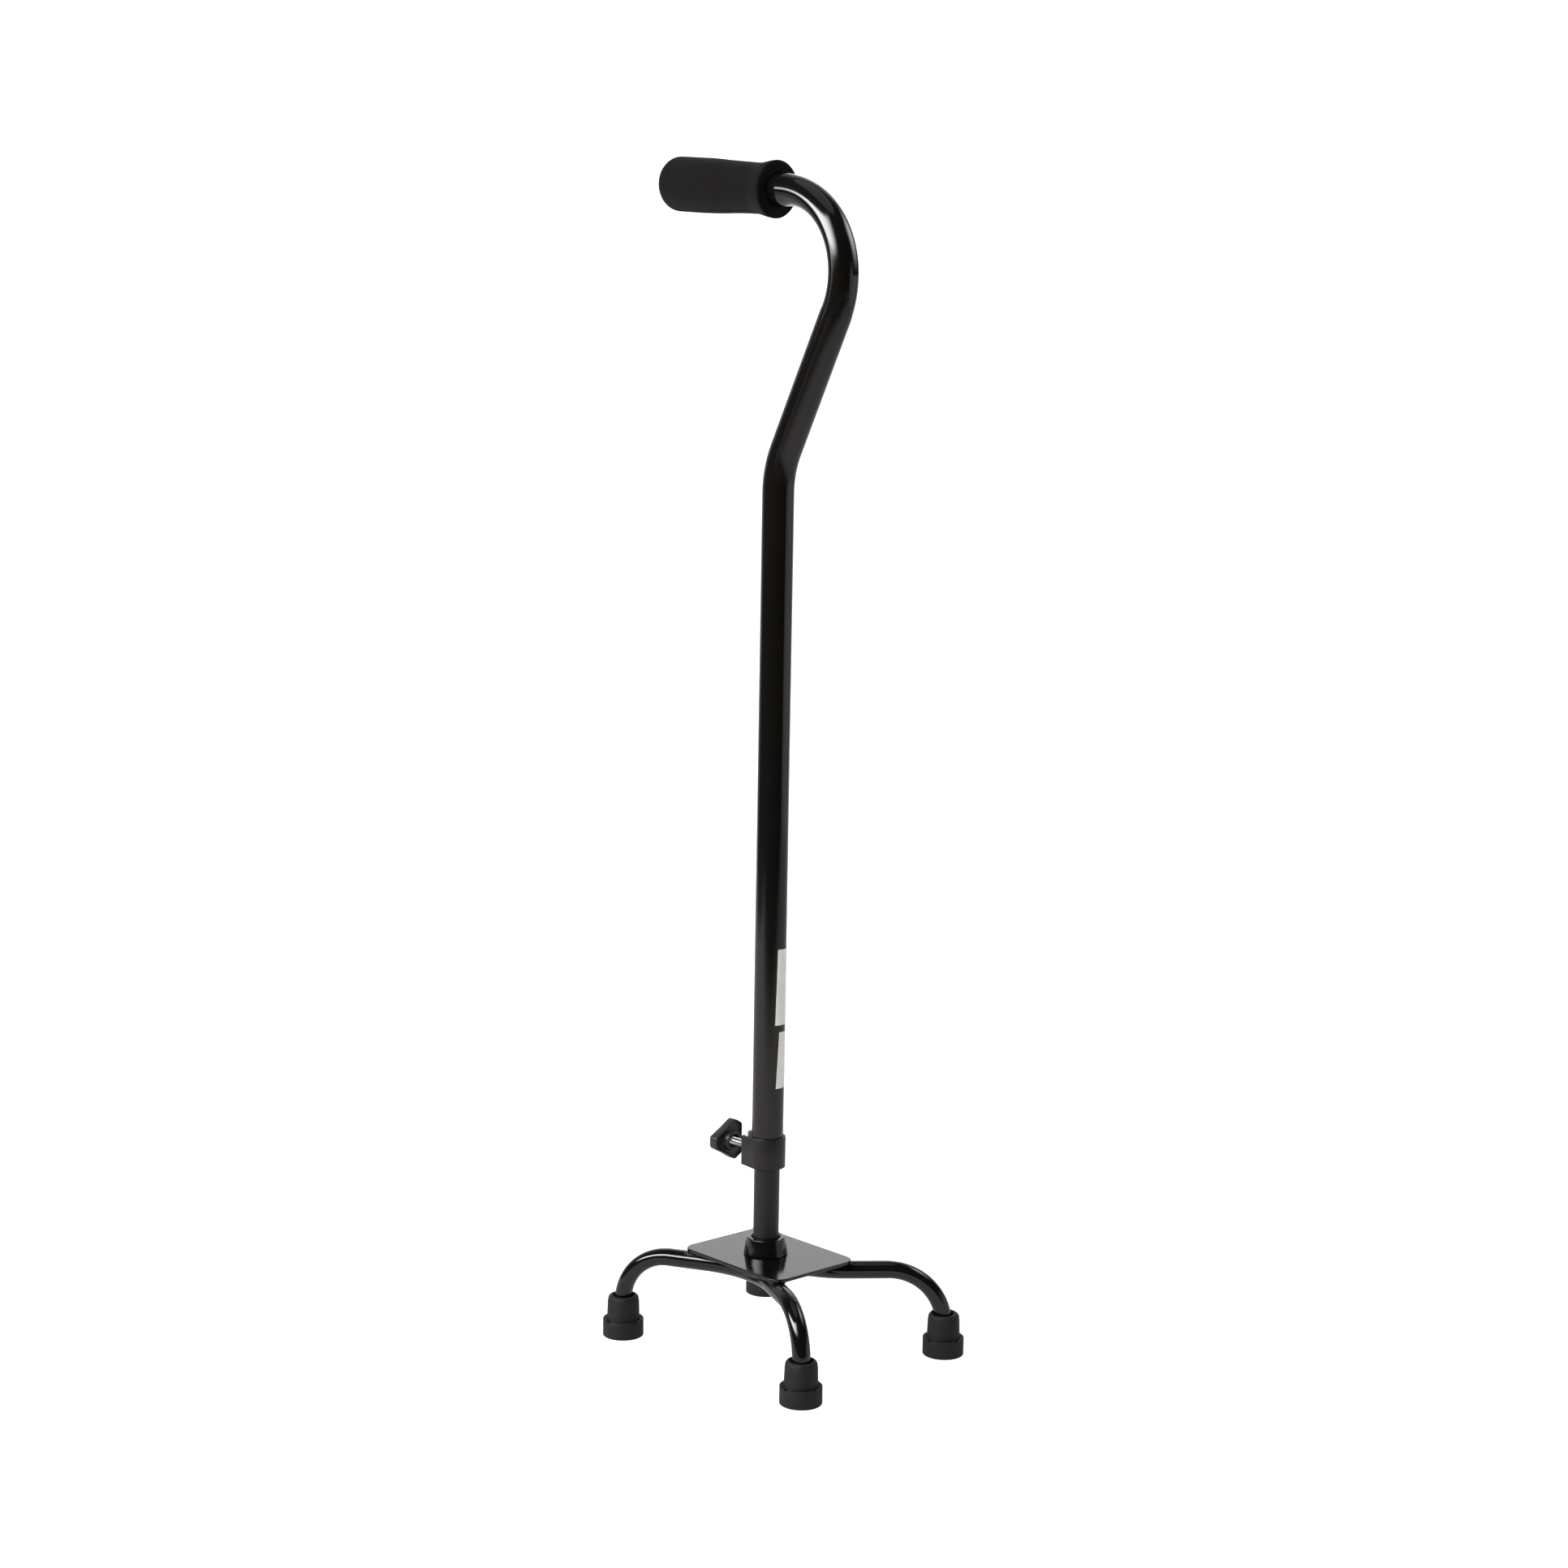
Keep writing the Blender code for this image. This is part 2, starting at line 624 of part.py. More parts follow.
def make_grip(finish, handle):
    """Foam grip, closed at the rear, with a blind bore for the handle."""
    bore = UPPER_RADIUS + GAP
    depth = HANDLE_STRAIGHT - GRIP_START + PLUG_FLANGE + 2 * GAP
    front = grip_radius(0) - GRIP_FRONT_ROUND
    outline = [(0, depth), (bore, depth), (bore, 0), (front, 0)]
    shoulder = arc((front, GRIP_FRONT_ROUND), GRIP_FRONT_ROUND, -math.pi / 4, 0, 1)
    outline += [tuple(point) for point in shoulder]
    rear_start = GRIP_LENGTH - GRIP_END_ROUND
    distances = [0.004, 0.008, 0.012, 0.018, 0.030, 0.042, 0.056, 0.072]
    outline += [(grip_radius(distance), distance) for distance in distances]
    rear = grip_radius(rear_start) - GRIP_END_ROUND
    outline += [tuple(point) for point in arc((rear, rear_start), GRIP_END_ROUND, 0, math.pi / 2, 5)]
    outline += [(0, GRIP_LENGTH)]
    return piece("foam_grip", turned(outline, TUBE_SIDES), finish, handle, (0, 0, GRIP_START))


def make_handle_plug(finish, handle):
    """Plastic plug in the handle's open end, under the foam."""
    stem = UPPER_RADIUS - UPPER_WALL - GAP
    end = HANDLE_STRAIGHT + GAP
    outline = [(0, end - PLUG_STEM), (stem - 0.0006, end - PLUG_STEM), (stem, end - PLUG_STEM + 0.0010)]
    outline += [(stem, end), (UPPER_RADIUS - GAP, end), (UPPER_RADIUS - GAP, end + PLUG_FLANGE - 0.0005)]
    outline += [(UPPER_RADIUS - 0.0008, end + PLUG_FLANGE - GAP), (0, end + PLUG_FLANGE - GAP)]
    return piece("handle_plug", turned(outline, TUBE_SIDES), finish, handle)


# The clamp at the foot of the upper tube


def teardrop(radius, ear_end):
    """Outline of the collar seen from above: a ring with an ear whose walls run off it as tangents."""
    half_width = (radius - math.sin(COLLAR_EAR_TAPER) * ear_end) / math.cos(COLLAR_EAR_TAPER)
    swing = math.pi / 2 + COLLAR_EAR_TAPER
    points = arc((0, 0), radius, -swing, swing, 20)
    points += [Vector((-ear_end, half_width)), Vector((-ear_end, -half_width))]
    return points


def make_collar(finish, upper):
    """Collar with a floor; the ear is a pocket, open on top, for the nut plate."""
    outline = teardrop(COLLAR_RADIUS, COLLAR_EAR_END)
    collar = piece("clamp_collar", prism(outline, COLLAR_BOTTOM, COLLAR_TOP), finish, upper)
    inside = teardrop(COLLAR_RADIUS - COLLAR_WALL, COLLAR_EAR_END - COLLAR_EAR_WALL)
    floor = COLLAR_BOTTOM + COLLAR_FLOOR
    pocket = prism(inside, floor, COLLAR_TOP + CUT_PAST)
    bore = disc(COLLAR_BORE, COLLAR_BOTTOM - CUT_PAST, floor + CUT_PAST, TUBE_SIDES)
    screw_hole = along_minus_x(disc(SCREW_CLEARANCE_HOLE, COLLAR_RADIUS, COLLAR_EAR_END + CUT_PAST), SCREW_Z)
    soften(collar, 0.0003, 1, math.radians(50))
    combine(collar, cutter("collar_pocket", pocket, upper))
    combine(collar, cutter("collar_bore", bore, upper))
    combine(collar, cutter("collar_screw_hole", screw_hole, upper))
    return collar


def make_bushing(finish, upper):
    """Nylon ring between the collar's floor and the tube's end, which the lower tube runs in."""
    bottom = COLLAR_BOTTOM + COLLAR_FLOOR + GAP
    return piece("collar_bushing", ring(COLLAR_BORE, UPPER_RADIUS, bottom, UPPER_BOTTOM - GAP), finish, upper)


def make_nut_plate(finish, upper):
    """Threaded steel plate that stands in the ear and shows above it."""
    bottom = COLLAR_BOTTOM + COLLAR_FLOOR + GAP
    low = (NUT_PLATE_X - NUT_PLATE_THICKNESS, -NUT_PLATE_HALF_WIDTH, bottom)
    high = (NUT_PLATE_X, NUT_PLATE_HALF_WIDTH, NUT_PLATE_TOP)
    plate = piece("nut_plate", box(low, high), finish, upper)
    bore = along_minus_x(disc(SCREW_BORE, -NUT_PLATE_X - CUT_PAST, COLLAR_EAR_END + CUT_PAST), SCREW_Z)
    soften(plate, 0.0003, 1)
    combine(plate, cutter("nut_plate_thread", bore, upper))
    return plate


def make_screw(finish, clamp):
    """Clamp screw from the pressure pad to the knob, on the clamp's axis."""
    inner = -PAD_OUTER_X + GAP
    outer = -KNOB_BOSS_X + KNOB_SCREW_DEPTH - GAP
    lead = 0.0006
    outline = [(0, inner), (SCREW_RADIUS - lead, inner), (SCREW_RADIUS, inner + lead)]
    outline += [(SCREW_RADIUS, outer), (0, outer)]
    return piece("clamp_screw", along_minus_x(turned(outline, SMALL_SIDES), 0), finish, clamp)


def make_pad(finish, clamp):
    """Brass pad at the screw's tip, which presses on the lower tube and doesn't turn."""
    inner = -PAD_OUTER_X - PAD_THICKNESS
    return piece("pressure_pad", along_minus_x(disc(PAD_RADIUS, inner, -PAD_OUTER_X), 0), finish, clamp)


def knob_outline():
    """Three broad lobes with flat ends and slightly hollow sides between them, one lobe to -Y."""
    points = []
    steps = 48
    half_lobe = math.pi / KNOB_LOBES
    for step in range(steps):
        angle = 2 * math.pi * step / steps
        off_lobe = abs((angle + math.pi / 2 + half_lobe) % (2 * half_lobe) - half_lobe)
        end = KNOB_LOBE_END / math.cos(off_lobe)
        side = KNOB_SIDE / math.cos(half_lobe - off_lobe) - KNOB_SIDE_HOLLOW * off_lobe / half_lobe
        sharp = KNOB_CORNER_SHARPNESS
        points.append(polar((end ** -sharp + side ** -sharp) ** (-1 / sharp), angle))
    return points


def make_knob(finish, clamp):
    """Three-lobed knob with a boss towards the collar and a blind hole for the screw."""
    face = -KNOB_BOSS_X + KNOB_BOSS_LENGTH
    body = prism(knob_outline(), face, face + KNOB_THICKNESS)
    lay = Matrix.Rotation(-math.pi / 2, 4, "Y")
    bmesh.ops.transform(body, matrix=lay, verts=body.verts)
    knob = piece("clamp_knob", body, finish, clamp)
    soften(knob, KNOB_EDGE_ROUND)
    boss = along_minus_x(disc(KNOB_BOSS_RADIUS, -KNOB_BOSS_X, face + 0.001), 0)
    combine(knob, cutter("knob_boss", boss, clamp), "UNION")
    start = -KNOB_BOSS_X - CUT_PAST
    bore = disc(SCREW_RADIUS + GAP, start, -KNOB_BOSS_X + KNOB_SCREW_DEPTH)
    combine(knob, cutter("knob_screw_hole", along_minus_x(bore, 0), clamp))
    return knob


def shaft_x():
    """Where the shaft's axis stands, so that the whole cane's box is centred on the origin."""
    handle_start = upper_path().point.x
    end_disc = grip_radius(GRIP_LENGTH - GRIP_END_ROUND) - GRIP_END_ROUND
    along = (GRIP_START + GRIP_LENGTH) * math.cos(GRIP_RISE)
    rear_reach = along + end_disc * math.sin(GRIP_RISE) - handle_start
    front_reach = FOOT_HALF_LENGTH + TIP_RADIUS
    return (rear_reach - front_reach) / 2


def build():
    clear_scene()
    gloss_black = material("gloss_black_enamel", (0.012, 0.011, 0.011), 0.12)
    satin_black = material("satin_black_enamel", (0.030, 0.027, 0.026), 0.38)
    rubber = material("black_rubber", (0.028, 0.027, 0.027), 0.72)
    foam = material("black_foam", (0.030, 0.028, 0.028), 0.92)
    plastic = material("black_plastic", (0.035, 0.032, 0.034), 0.45)
    nylon = material("white_nylon", (0.72, 0.71, 0.68), 0.40)
    zinc = material("zinc_steel", (0.62, 0.63, 0.64), 0.28, 1.0)
    brass = material("brass", (0.72, 0.53, 0.24), 0.30, 1.0)
    spring = material("spring_steel", (0.45, 0.46, 0.48), 0.30, 1.0)

    shaft = empty("shaft_frame", (shaft_x(), SHAFT_Y, 0))
    upper = empty("height_frame", (0, 0, 0), shaft)
    handle = empty("handle_frame", upper_path().point, upper)
    handle.rotation_euler = handle_turn().to_euler()
    clamp = empty("clamp_frame", (0, 0, SCREW_Z), upper)

    make_plate(gloss_black, shaft)
    make_hub(gloss_black, shaft)
    make_leg("right_leg_tube", -1, gloss_black, shaft)
    make_leg("left_leg_tube", 1, gloss_black, shaft)
    for side, side_name in ((-1, "right"), (1, "left")):
        path = leg_path(side)
        for end, end_name in ((-1, "rear"), (1, "front")):
            make_tip(f"rubber_tip_{end_name}_{side_name}", end, side, rubber, shaft, path)
            make_tip_washer(f"tip_washer_{end_name}_{side_name}", end, side, zinc, shaft)
    make_base_bolt(zinc, shaft)
    make_washers(zinc, shaft)

    make_lower_tube(satin_black, shaft)
    make_shaft_plug(zinc, shaft)
    make_glide(nylon, shaft)
    make_button(zinc, shaft)
    make_button_spring(spring, shaft)

    make_upper_tube(gloss_black, upper)
    make_grip(foam, handle)
    make_handle_plug(plastic, handle)
    make_collar(satin_black, upper)
    make_bushing(nylon, upper)
    make_nut_plate(zinc, upper)
    make_screw(zinc, clamp)
    make_pad(brass, clamp)
    make_knob(plastic, clamp)


build()
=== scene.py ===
"""Finished looks for the quad walking cane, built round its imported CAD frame.

Metres, +Z up. Every piece stands where its CAD node stands and keeps that node's size; what is
added here is smoothness, moulded and machined detail, threads, welds, blank labels and finishes.
"""

import math

import bmesh
import bpy
from mathutils import Matrix, Vector, noise


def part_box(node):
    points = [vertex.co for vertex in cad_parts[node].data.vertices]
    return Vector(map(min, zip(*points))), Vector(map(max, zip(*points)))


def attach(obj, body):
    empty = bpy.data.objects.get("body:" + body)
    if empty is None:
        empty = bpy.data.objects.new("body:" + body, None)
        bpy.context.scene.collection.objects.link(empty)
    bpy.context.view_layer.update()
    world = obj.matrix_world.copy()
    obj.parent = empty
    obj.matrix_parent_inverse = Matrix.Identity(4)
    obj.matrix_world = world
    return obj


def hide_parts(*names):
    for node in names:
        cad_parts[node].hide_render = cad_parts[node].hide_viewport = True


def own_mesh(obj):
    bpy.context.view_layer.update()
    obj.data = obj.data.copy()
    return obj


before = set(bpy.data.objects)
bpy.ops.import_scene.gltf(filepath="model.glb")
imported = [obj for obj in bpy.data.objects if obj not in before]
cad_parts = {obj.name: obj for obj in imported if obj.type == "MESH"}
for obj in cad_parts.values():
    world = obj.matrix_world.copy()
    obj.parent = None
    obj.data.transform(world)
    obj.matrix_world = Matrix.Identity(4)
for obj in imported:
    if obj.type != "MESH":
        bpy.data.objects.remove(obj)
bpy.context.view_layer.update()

SHARP = math.radians(32)
FINE = 96  # sides of a lathed piece
TUBE_SIDES = 80
LEG_SIDES = 56
BEND_STEP = math.radians(2.5)


def middle(node):
    low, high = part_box(node)
    return (low + high) / 2


def node_size(node):
    low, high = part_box(node)
    return high - low


def node_low(node):
    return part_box(node)[0]


def node_high(node):
    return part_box(node)[1]


def levels(node):
    """A node's lowest and highest z."""
    low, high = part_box(node)
    return low.z, high.z


# Where the frame's main axes stand
AXIS_X = middle("lower_tube").x
AXIS_Y = middle("lower_tube").y
SCREW_Z = middle("clamp_screw").z
BUTTON_Z = middle("snap_button").z
PLATE_TOP = node_high("base_plate").z
PLATE_BOTTOM = node_low("base_plate").z

# Tube sizes, which the boxes give
LOWER_RADIUS = node_size("lower_tube").x / 2
UPPER_RADIUS = node_size("upper_tube").y / 2
WALL = 0.0012
SIDES = {-1: "right", 1: "left"}
GAP = 0.0003  # between pieces that touch
LEG_RADIUS = 0.00635
LEG_FLATTENING = 0.06

# The gooseneck, as its bender was set
NECK_START = 0.6100
NECK_LEAN = math.radians(26.6)
NECK_FORWARD_RADIUS = 0.0660
NECK_SLANT = 0.1005
NECK_RETURN_RADIUS = 0.0578
NECK_FLATTENING = 0.17
GRIP_RISE = math.radians(5.2)
HANDLE_STRAIGHT = 0.1040

# The leg tubes, as theirs was
RIGHT_ARM = (math.radians(25.7), 0.0800, 0.0355)  # arm angle, apex radius, drop radius
LEFT_ARM = (math.radians(49.4), 0.0600, 0.0415)
LEG_START_Z = 0.0078
LEG_TOP_Z = PLATE_BOTTOM - GAP - LEG_RADIUS  # the level stretch's centreline, under the plate

PLATE_SIZE = (0.1011, 0.0764)
PLATE_CORNER = 0.0096
PLATE_TURN = math.radians(-2.1)

HOLE_PITCH = 0.0254
HOLE_STEPS = range(-4, 3)
HOLE_RADIUS = 0.0041
SCREW_HOLE_RADIUS = 0.0034
BOLT_HOLE_RADIUS = 0.0043
SLEEVE_BORE = 0.0094  # the collar's and the bushing's, round the lower tube
CUT_PAST = 0.002  # how far a cutter reaches past what it cuts


# Meshes


def polar(radius, angle):
    return Vector((radius * math.cos(angle), radius * math.sin(angle)))


def smoothstep(value):
    held = min(max(value, 0.0), 1.0)
    return held * held * (3 - 2 * held)


def mix(first, second, share):
    return first + (second - first) * share


def arc(centre, radius, start, end, steps):
    """(x, y) points on an arc, ends included, angles in degrees."""
    start, end = math.radians(start), math.radians(end)
    points = [Vector(centre) + polar(radius, mix(start, end, step / steps)) for step in range(steps + 1)]
    return [(point.x, point.y) for point in points]


def stitched(rings, close_ends=True, loop=False):
    """A skin over rings of equally many points; one-point rings close a lathe's end."""
    bm = bmesh.new()
    made = [[bm.verts.new(point) for point in ring] for ring in rings]
    pairs = list(zip(made, made[1:]))
    if loop:
        pairs.append((made[-1], made[0]))
    count = max(len(ring) for ring in made)
    for near, far in pairs:
        for step in range(count):
            after = (step + 1) % count
            corners = [near[step % len(near)], near[after % len(near)]]
            corners += [far[after % len(far)], far[step % len(far)]]
            bm.faces.new(list(dict.fromkeys(corners)))
    if close_ends and not loop:
        for ring in (made[0], made[-1]):
            if len(ring) > 2:
                bm.faces.new(ring)
    return bm


def lathe(outline, sides=FINE, loop=False, place=None):
    """A turned shape from (radius, height) points, put in place by a matrix."""
    rings = []
    for radius, height in outline:
        if radius < 1e-7:
            rings.append([Vector((0, 0, height))])
            continue
        angles = [2 * math.pi * side / sides for side in range(sides)]
        rings.append([Vector((*polar(radius, angle), height)) for angle in angles])
    bm = stitched(rings, close_ends=False, loop=loop)
    if place is not None:
        bm.transform(place)
    return bm


def on_axis(height=0.0):
    """Places a lathe on the shaft's axis."""
    return Matrix.Translation((AXIS_X, AXIS_Y, height))


def along_screw(height=None):
    """Lays a lathe down along -X from the shaft's axis."""
    level = SCREW_Z if height is None else height
    return on_axis(level) @ Matrix.Rotation(-math.pi / 2, 4, "Y")


def inset(outline, amount):
    """A closed (x, y) outline moved inwards along its own normals."""
    count = len(outline)
    moved = []
    for step in range(count):
        before, after = Vector(outline[step - 1]), Vector(outline[(step + 1) % count])
        run = (after - before).normalized()
        moved.append(Vector(outline[step]) + Vector((-run.y, run.x)) * amount)
    return moved


def slab(outline, bottom, top, rounding, steps=4):
    """A flat outline drawn up into a plate with rounded rims."""
    low, high = [], []
    for step in range(steps + 1):
        angle = math.pi / 2 * step / steps
        ring = inset(outline, rounding * (1 - math.cos(angle)))
        drop = rounding * (1 - math.sin(angle))
        low.insert(0, [(*point, bottom + drop) for point in ring])
        high.append([(*point, top - drop) for point in ring])
    return stitched(low + high)


class TubePath:
    """The centreline of a bent tube, laid out as a tube bender works: straights and arcs in turn."""

    def __init__(self, point, heading, side):
        self.point = Vector(point)
        self.heading = Vector(heading).normalized()
        self.side = Vector(side).normalized()
        self.stations = []
        self.mark(self.side, 0.0)

    def mark(self, squeeze_along, squeeze):
        frame_here = (self.point.copy(), self.heading.copy(), self.side.copy())
        self.stations.append((*frame_here, squeeze_along, squeeze))

    def straight(self, length, parts=1):
        for _ in range(parts):
            self.point = self.point + self.heading * (length / parts)
            self.mark(self.side, 0.0)

    def bend(self, axis, radius, angle, squeeze=0.0):
        axis = Vector(axis).normalized()
        steps = max(6, round(angle / BEND_STEP))
        centre = self.point + axis.cross(self.heading) * radius
        turn = Matrix.Rotation(angle / steps, 3, axis)
        for step in range(1, steps + 1):
            self.point = centre + turn @ (self.point - centre)
            self.heading = turn @ self.heading
            self.side = turn @ self.side
            inward = axis.cross(self.heading)
            self.mark(inward, squeeze * math.sqrt(math.sin(math.pi * step / steps)))


def section(station, radius, sides):
    """One ring round the centreline, squeezed in the plane of its bend."""
    point, heading, side, squeeze_along, squeeze = station
    across = heading.cross(side)
    ring = []
    for step in range(sides):
        angle = 2 * math.pi * step / sides
        offset = (side * math.cos(angle) + across * math.sin(angle)) * radius
        offset -= squeeze_along * offset.dot(squeeze_along) * squeeze
        ring.append(point + offset)
    return ring


def tube(stations, radius, wall, sides):
    """A tube open at both ends, its rims slightly rounded."""
    rim = 0.00025
    first, last = stations[0], stations[-1]
    outer = [section(station, radius, sides) for station in stations[1:-1]]
    inner = [section(station, radius - wall, sides) for station in stations[1:-1]]

    def rim_rings(station, direction):
        point, heading, *rest = station
        moved = (point + heading * rim * direction, heading, *rest)
        return section(moved, radius, sides), section(station, radius - rim, sides), \
            section(station, radius - wall + rim, sides), section(moved, radius - wall, sides)

    start = rim_rings(first, 1)
    end = rim_rings(last, -1)
    rings = [start[1], start[0], *outer, end[0], end[1], end[2], end[3]]
    rings += [*reversed(inner), start[3], start[2]]
    return stitched(rings, loop=True)


# Pieces


def mesh_from(name, bm):
    mesh = bpy.data.meshes.new(name)
    bm.to_mesh(mesh)
    bm.free()
    return mesh


def linked(name, data):
    """A new object in the scene."""
    made = bpy.data.objects.new(name, data)
    bpy.context.scene.collection.objects.link(made)
    return made


def piece(name, bm, body, finish, nodes=(), sharp=SHARP):
    """One finished piece that rides on a CAD body and stands for CAD nodes.

    Its one material is its finish.
    """
    bmesh.ops.recalc_face_normals(bm, faces=bm.faces)
    mesh = mesh_from(name, bm)
    mesh.materials.append(finish)
    mesh.shade_smooth()
    mesh.set_sharp_from_angle(angle=sharp)
    made = linked(name, mesh)
    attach(made, body)
    if nodes:
        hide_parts(*nodes)
    return made


def combine(made, shapes, operation="DIFFERENCE", sharp=SHARP):
    """Cuts closed shapes out of a piece, or joins them to it, for good."""
    tools = []
    for shape in shapes:
        bmesh.ops.recalc_face_normals(shape, faces=shape.faces)
        tool = linked("tool", mesh_from("tool", shape))
        tools.append(tool)
        step = made.modifiers.new("combine", "BOOLEAN")
        step.operation = operation
        step.solver = "EXACT"
        step.object = tool
    bpy.context.view_layer.update()
    held = made.evaluated_get(bpy.context.evaluated_depsgraph_get())
    baked = bpy.data.meshes.new_from_object(held)
    made.modifiers.clear()
    made.data = baked
    baked.shade_smooth()
    baked.set_sharp_from_angle(angle=sharp)
    for tool in tools:
        bpy.data.objects.remove(tool, do_unlink=True)


def side_hole(radius, height, near, far):
    """A round cutter along -X."""
    return lathe([(0, near), (radius, near), (radius, far), (0, far)], 48, place=along_screw(height))


def post(radius, low, high, sides=48):
    """A round bar on the shaft's axis."""
    return lathe([(0, low), (radius, low), (radius, high), (0, high)], sides, place=on_axis())


# Finishes


class Graph:
    """A node tree being put together."""

    def __init__(self, tree):
        self.nodes = tree.nodes
        self.links = tree.links
        self.nodes.clear()
        self.coordinates = self.node("TexCoord")

    def node(self, kind, **values):
        """A new node with some of its inputs set."""
        made = self.nodes.new("ShaderNode" + kind)
        for name, value in values.items():
            made.inputs[name].default_value = value
        return made

    def socket(self, value, target):
        if isinstance(value, (int, float, tuple)):
            target.default_value = value
        else:
            self.links.new(value, target)

    def ramp(self, value, low, high, to_low=0.0, to_high=1.0):
        node = self.node("MapRange")
        node.interpolation_type = "SMOOTHSTEP"
        for index, number in ((1, low), (2, high), (3, to_low), (4, to_high)):
            node.inputs[index].default_value = number
        self.links.new(value, node.inputs[0])
        return node.outputs[0]

    def math(self, operation, first, second=0.0):
        node = self.node("Math")
        node.operation = operation
        self.socket(first, node.inputs[0])
        self.socket(second, node.inputs[1])
        return node.outputs[0]

    def along(self, vector, direction):
        """How far a vector reaches along a direction."""
        node = self.node("VectorMath")
        node.operation = "DOT_PRODUCT"
        self.links.new(vector, node.inputs[0])
        node.inputs[1].default_value = direction
        return node.outputs["Value"]

    def seen_directly(self):
        return self.node("LightPath").outputs["Is Camera Ray"]


class Finish(Graph):
    """A node material; every pattern is measured in metres on the piece."""

    def __init__(self, name):
        self.material = bpy.data.materials.new(name)
        self.material.use_nodes = True
        super().__init__(self.material.node_tree)
        out = self.node("OutputMaterial")
        self.shader = self.node("BsdfPrincipled")
        self.links.new(self.shader.outputs["BSDF"], out.inputs["Surface"])
        self.height = None

    def set(self, **values):
        for name, value in values.items():
            self.socket(value, self.shader.inputs[name.replace("_", " ")])

    def stretched(self, scale):
        """Object coordinates, scaled differently along each axis."""
        mapping = self.node("Mapping", Scale=scale)
        self.links.new(self.coordinates.outputs["Object"], mapping.inputs["Vector"])
        return mapping.outputs["Vector"]

    def noise(self, scale, detail=3.0, rough=0.55, stretch=None, seed=0.0):
        node = self.node("TexNoise", Scale=scale, Detail=detail, Roughness=rough)
        node.noise_dimensions = "4D"
        node.inputs["W"].default_value = seed
        vector = self.stretched(stretch) if stretch else self.coordinates.outputs["Object"]
        self.links.new(vector, node.inputs["Vector"])
        return node.outputs["Fac"]

    def cells(self, scale):
        node = self.node("TexVoronoi", Scale=scale)
        self.links.new(self.coordinates.outputs["Object"], node.inputs["Vector"])
        return node.outputs["Distance"]

    def blend(self, share, first, second):
        node = self.node("Mix")
        node.data_type = "RGBA"
        self.socket(share, node.inputs[0])
        self.socket((*first, 1.0) if isinstance(first, tuple) else first, node.inputs[6])
        self.socket((*second, 1.0) if isinstance(second, tuple) else second, node.inputs[7])
        return node.outputs[2]

    def bump(self, value, distance, strength=1.0):
        """Adds relief on top of any already there."""
        node = self.node("Bump", Distance=distance, Strength=strength)
        self.links.new(value, node.inputs["Height"])
        if self.height is not None:
            self.links.new(self.height, node.inputs["Normal"])
        self.height = node.outputs["Normal"]
        self.links.new(self.height, self.shader.inputs["Normal"])


def gloss_enamel():
    """Baked gloss black: faint orange peel, a few duller smudges, dust in the paint."""
    look = Finish("gloss_black_enamel_finish")
    smudge = look.noise(14, 4, 0.6)
    tint = look.noise(60, 2, 0.5, seed=3.0)
    look.set(Base_Color=look.blend(tint, (0.0034, 0.0031, 0.0028), (0.0062, 0.0056, 0.0050)))
    look.set(Roughness=look.ramp(smudge, 0.35, 0.75, 0.07, 0.15), IOR=1.52)
    look.bump(look.noise(420, 2, 0.5, seed=1.0), 0.000020, 0.55)
    look.bump(look.ramp(look.cells(260), 0.02, 0.10, 1.0, 0.0), 0.000010, 0.25)
    return look.material


def satin_enamel():
    """Satin black: fine texture, rubbed a little along the tube where it slides."""
    look = Finish("satin_black_enamel_finish")
    rub = look.noise(1, 4, 0.6, stretch=(700, 700, 14))
    patch = look.noise(24, 3, 0.55, seed=2.0)
    worn = look.math("MULTIPLY", look.ramp(rub, 0.45, 0.75), look.ramp(patch, 0.35, 0.7))
    look.set(Base_Color=look.blend(worn, (0.0068, 0.0058, 0.0056), (0.0120, 0.0102, 0.0096)))
    look.set(Roughness=look.ramp(rub, 0.2, 0.8, 0.34, 0.46), IOR=1.48)
    look.bump(look.noise(1500, 2, 0.6), 0.000018, 0.5)
    return look.material


def moulded_rubber():
    """Matt black rubber: a spark-eroded mould texture and pale scuffs."""
    look = Finish("black_rubber_finish")
    scuff = look.noise(1, 5, 0.65, stretch=(90, 90, 180))
    bloom = look.noise(46, 4, 0.6, seed=4.0)
    tone = look.math("ADD", look.math("MULTIPLY", bloom, 0.6), look.ramp(scuff, 0.62, 0.8, 0.0, 0.5))
    look.set(Base_Color=look.blend(tone, (0.0048, 0.0042, 0.0041), (0.0116, 0.0102, 0.0099)))
    look.set(Roughness=look.ramp(bloom, 0.2, 0.8, 0.58, 0.74), IOR=1.45)
    look.bump(look.noise(2600, 2, 0.6, seed=1.0), 0.000030, 0.6)
    look.bump(scuff, 0.000040, 0.2)
    return look.material


def cell_foam():
    """Fine-celled black foam: soft pits, a dusty sheen, slow changes of tone."""
    look = Finish("black_foam_finish")
    pits = look.cells(1500)
    fine = look.noise(2200, 3, 0.7, seed=2.0)
    slow = look.noise(34, 3, 0.55, seed=5.0)
    tone = look.math("ADD", look.math("MULTIPLY", slow, 0.7), look.math("MULTIPLY", fine, 0.3))
    look.set(Base_Color=look.blend(tone, (0.0025, 0.0022, 0.0021), (0.0050, 0.0044, 0.0042)))
    look.set(Roughness=look.ramp(fine, 0.2, 0.8, 0.86, 0.98), IOR=1.38)
    look.set(Sheen_Weight=0.04, Sheen_Roughness=0.55, Specular_IOR_Level=0.18)
    look.bump(look.ramp(pits, 0.1, 0.6), 0.000090, 0.55)
    look.bump(fine, 0.000070, 0.45)
    return look.material


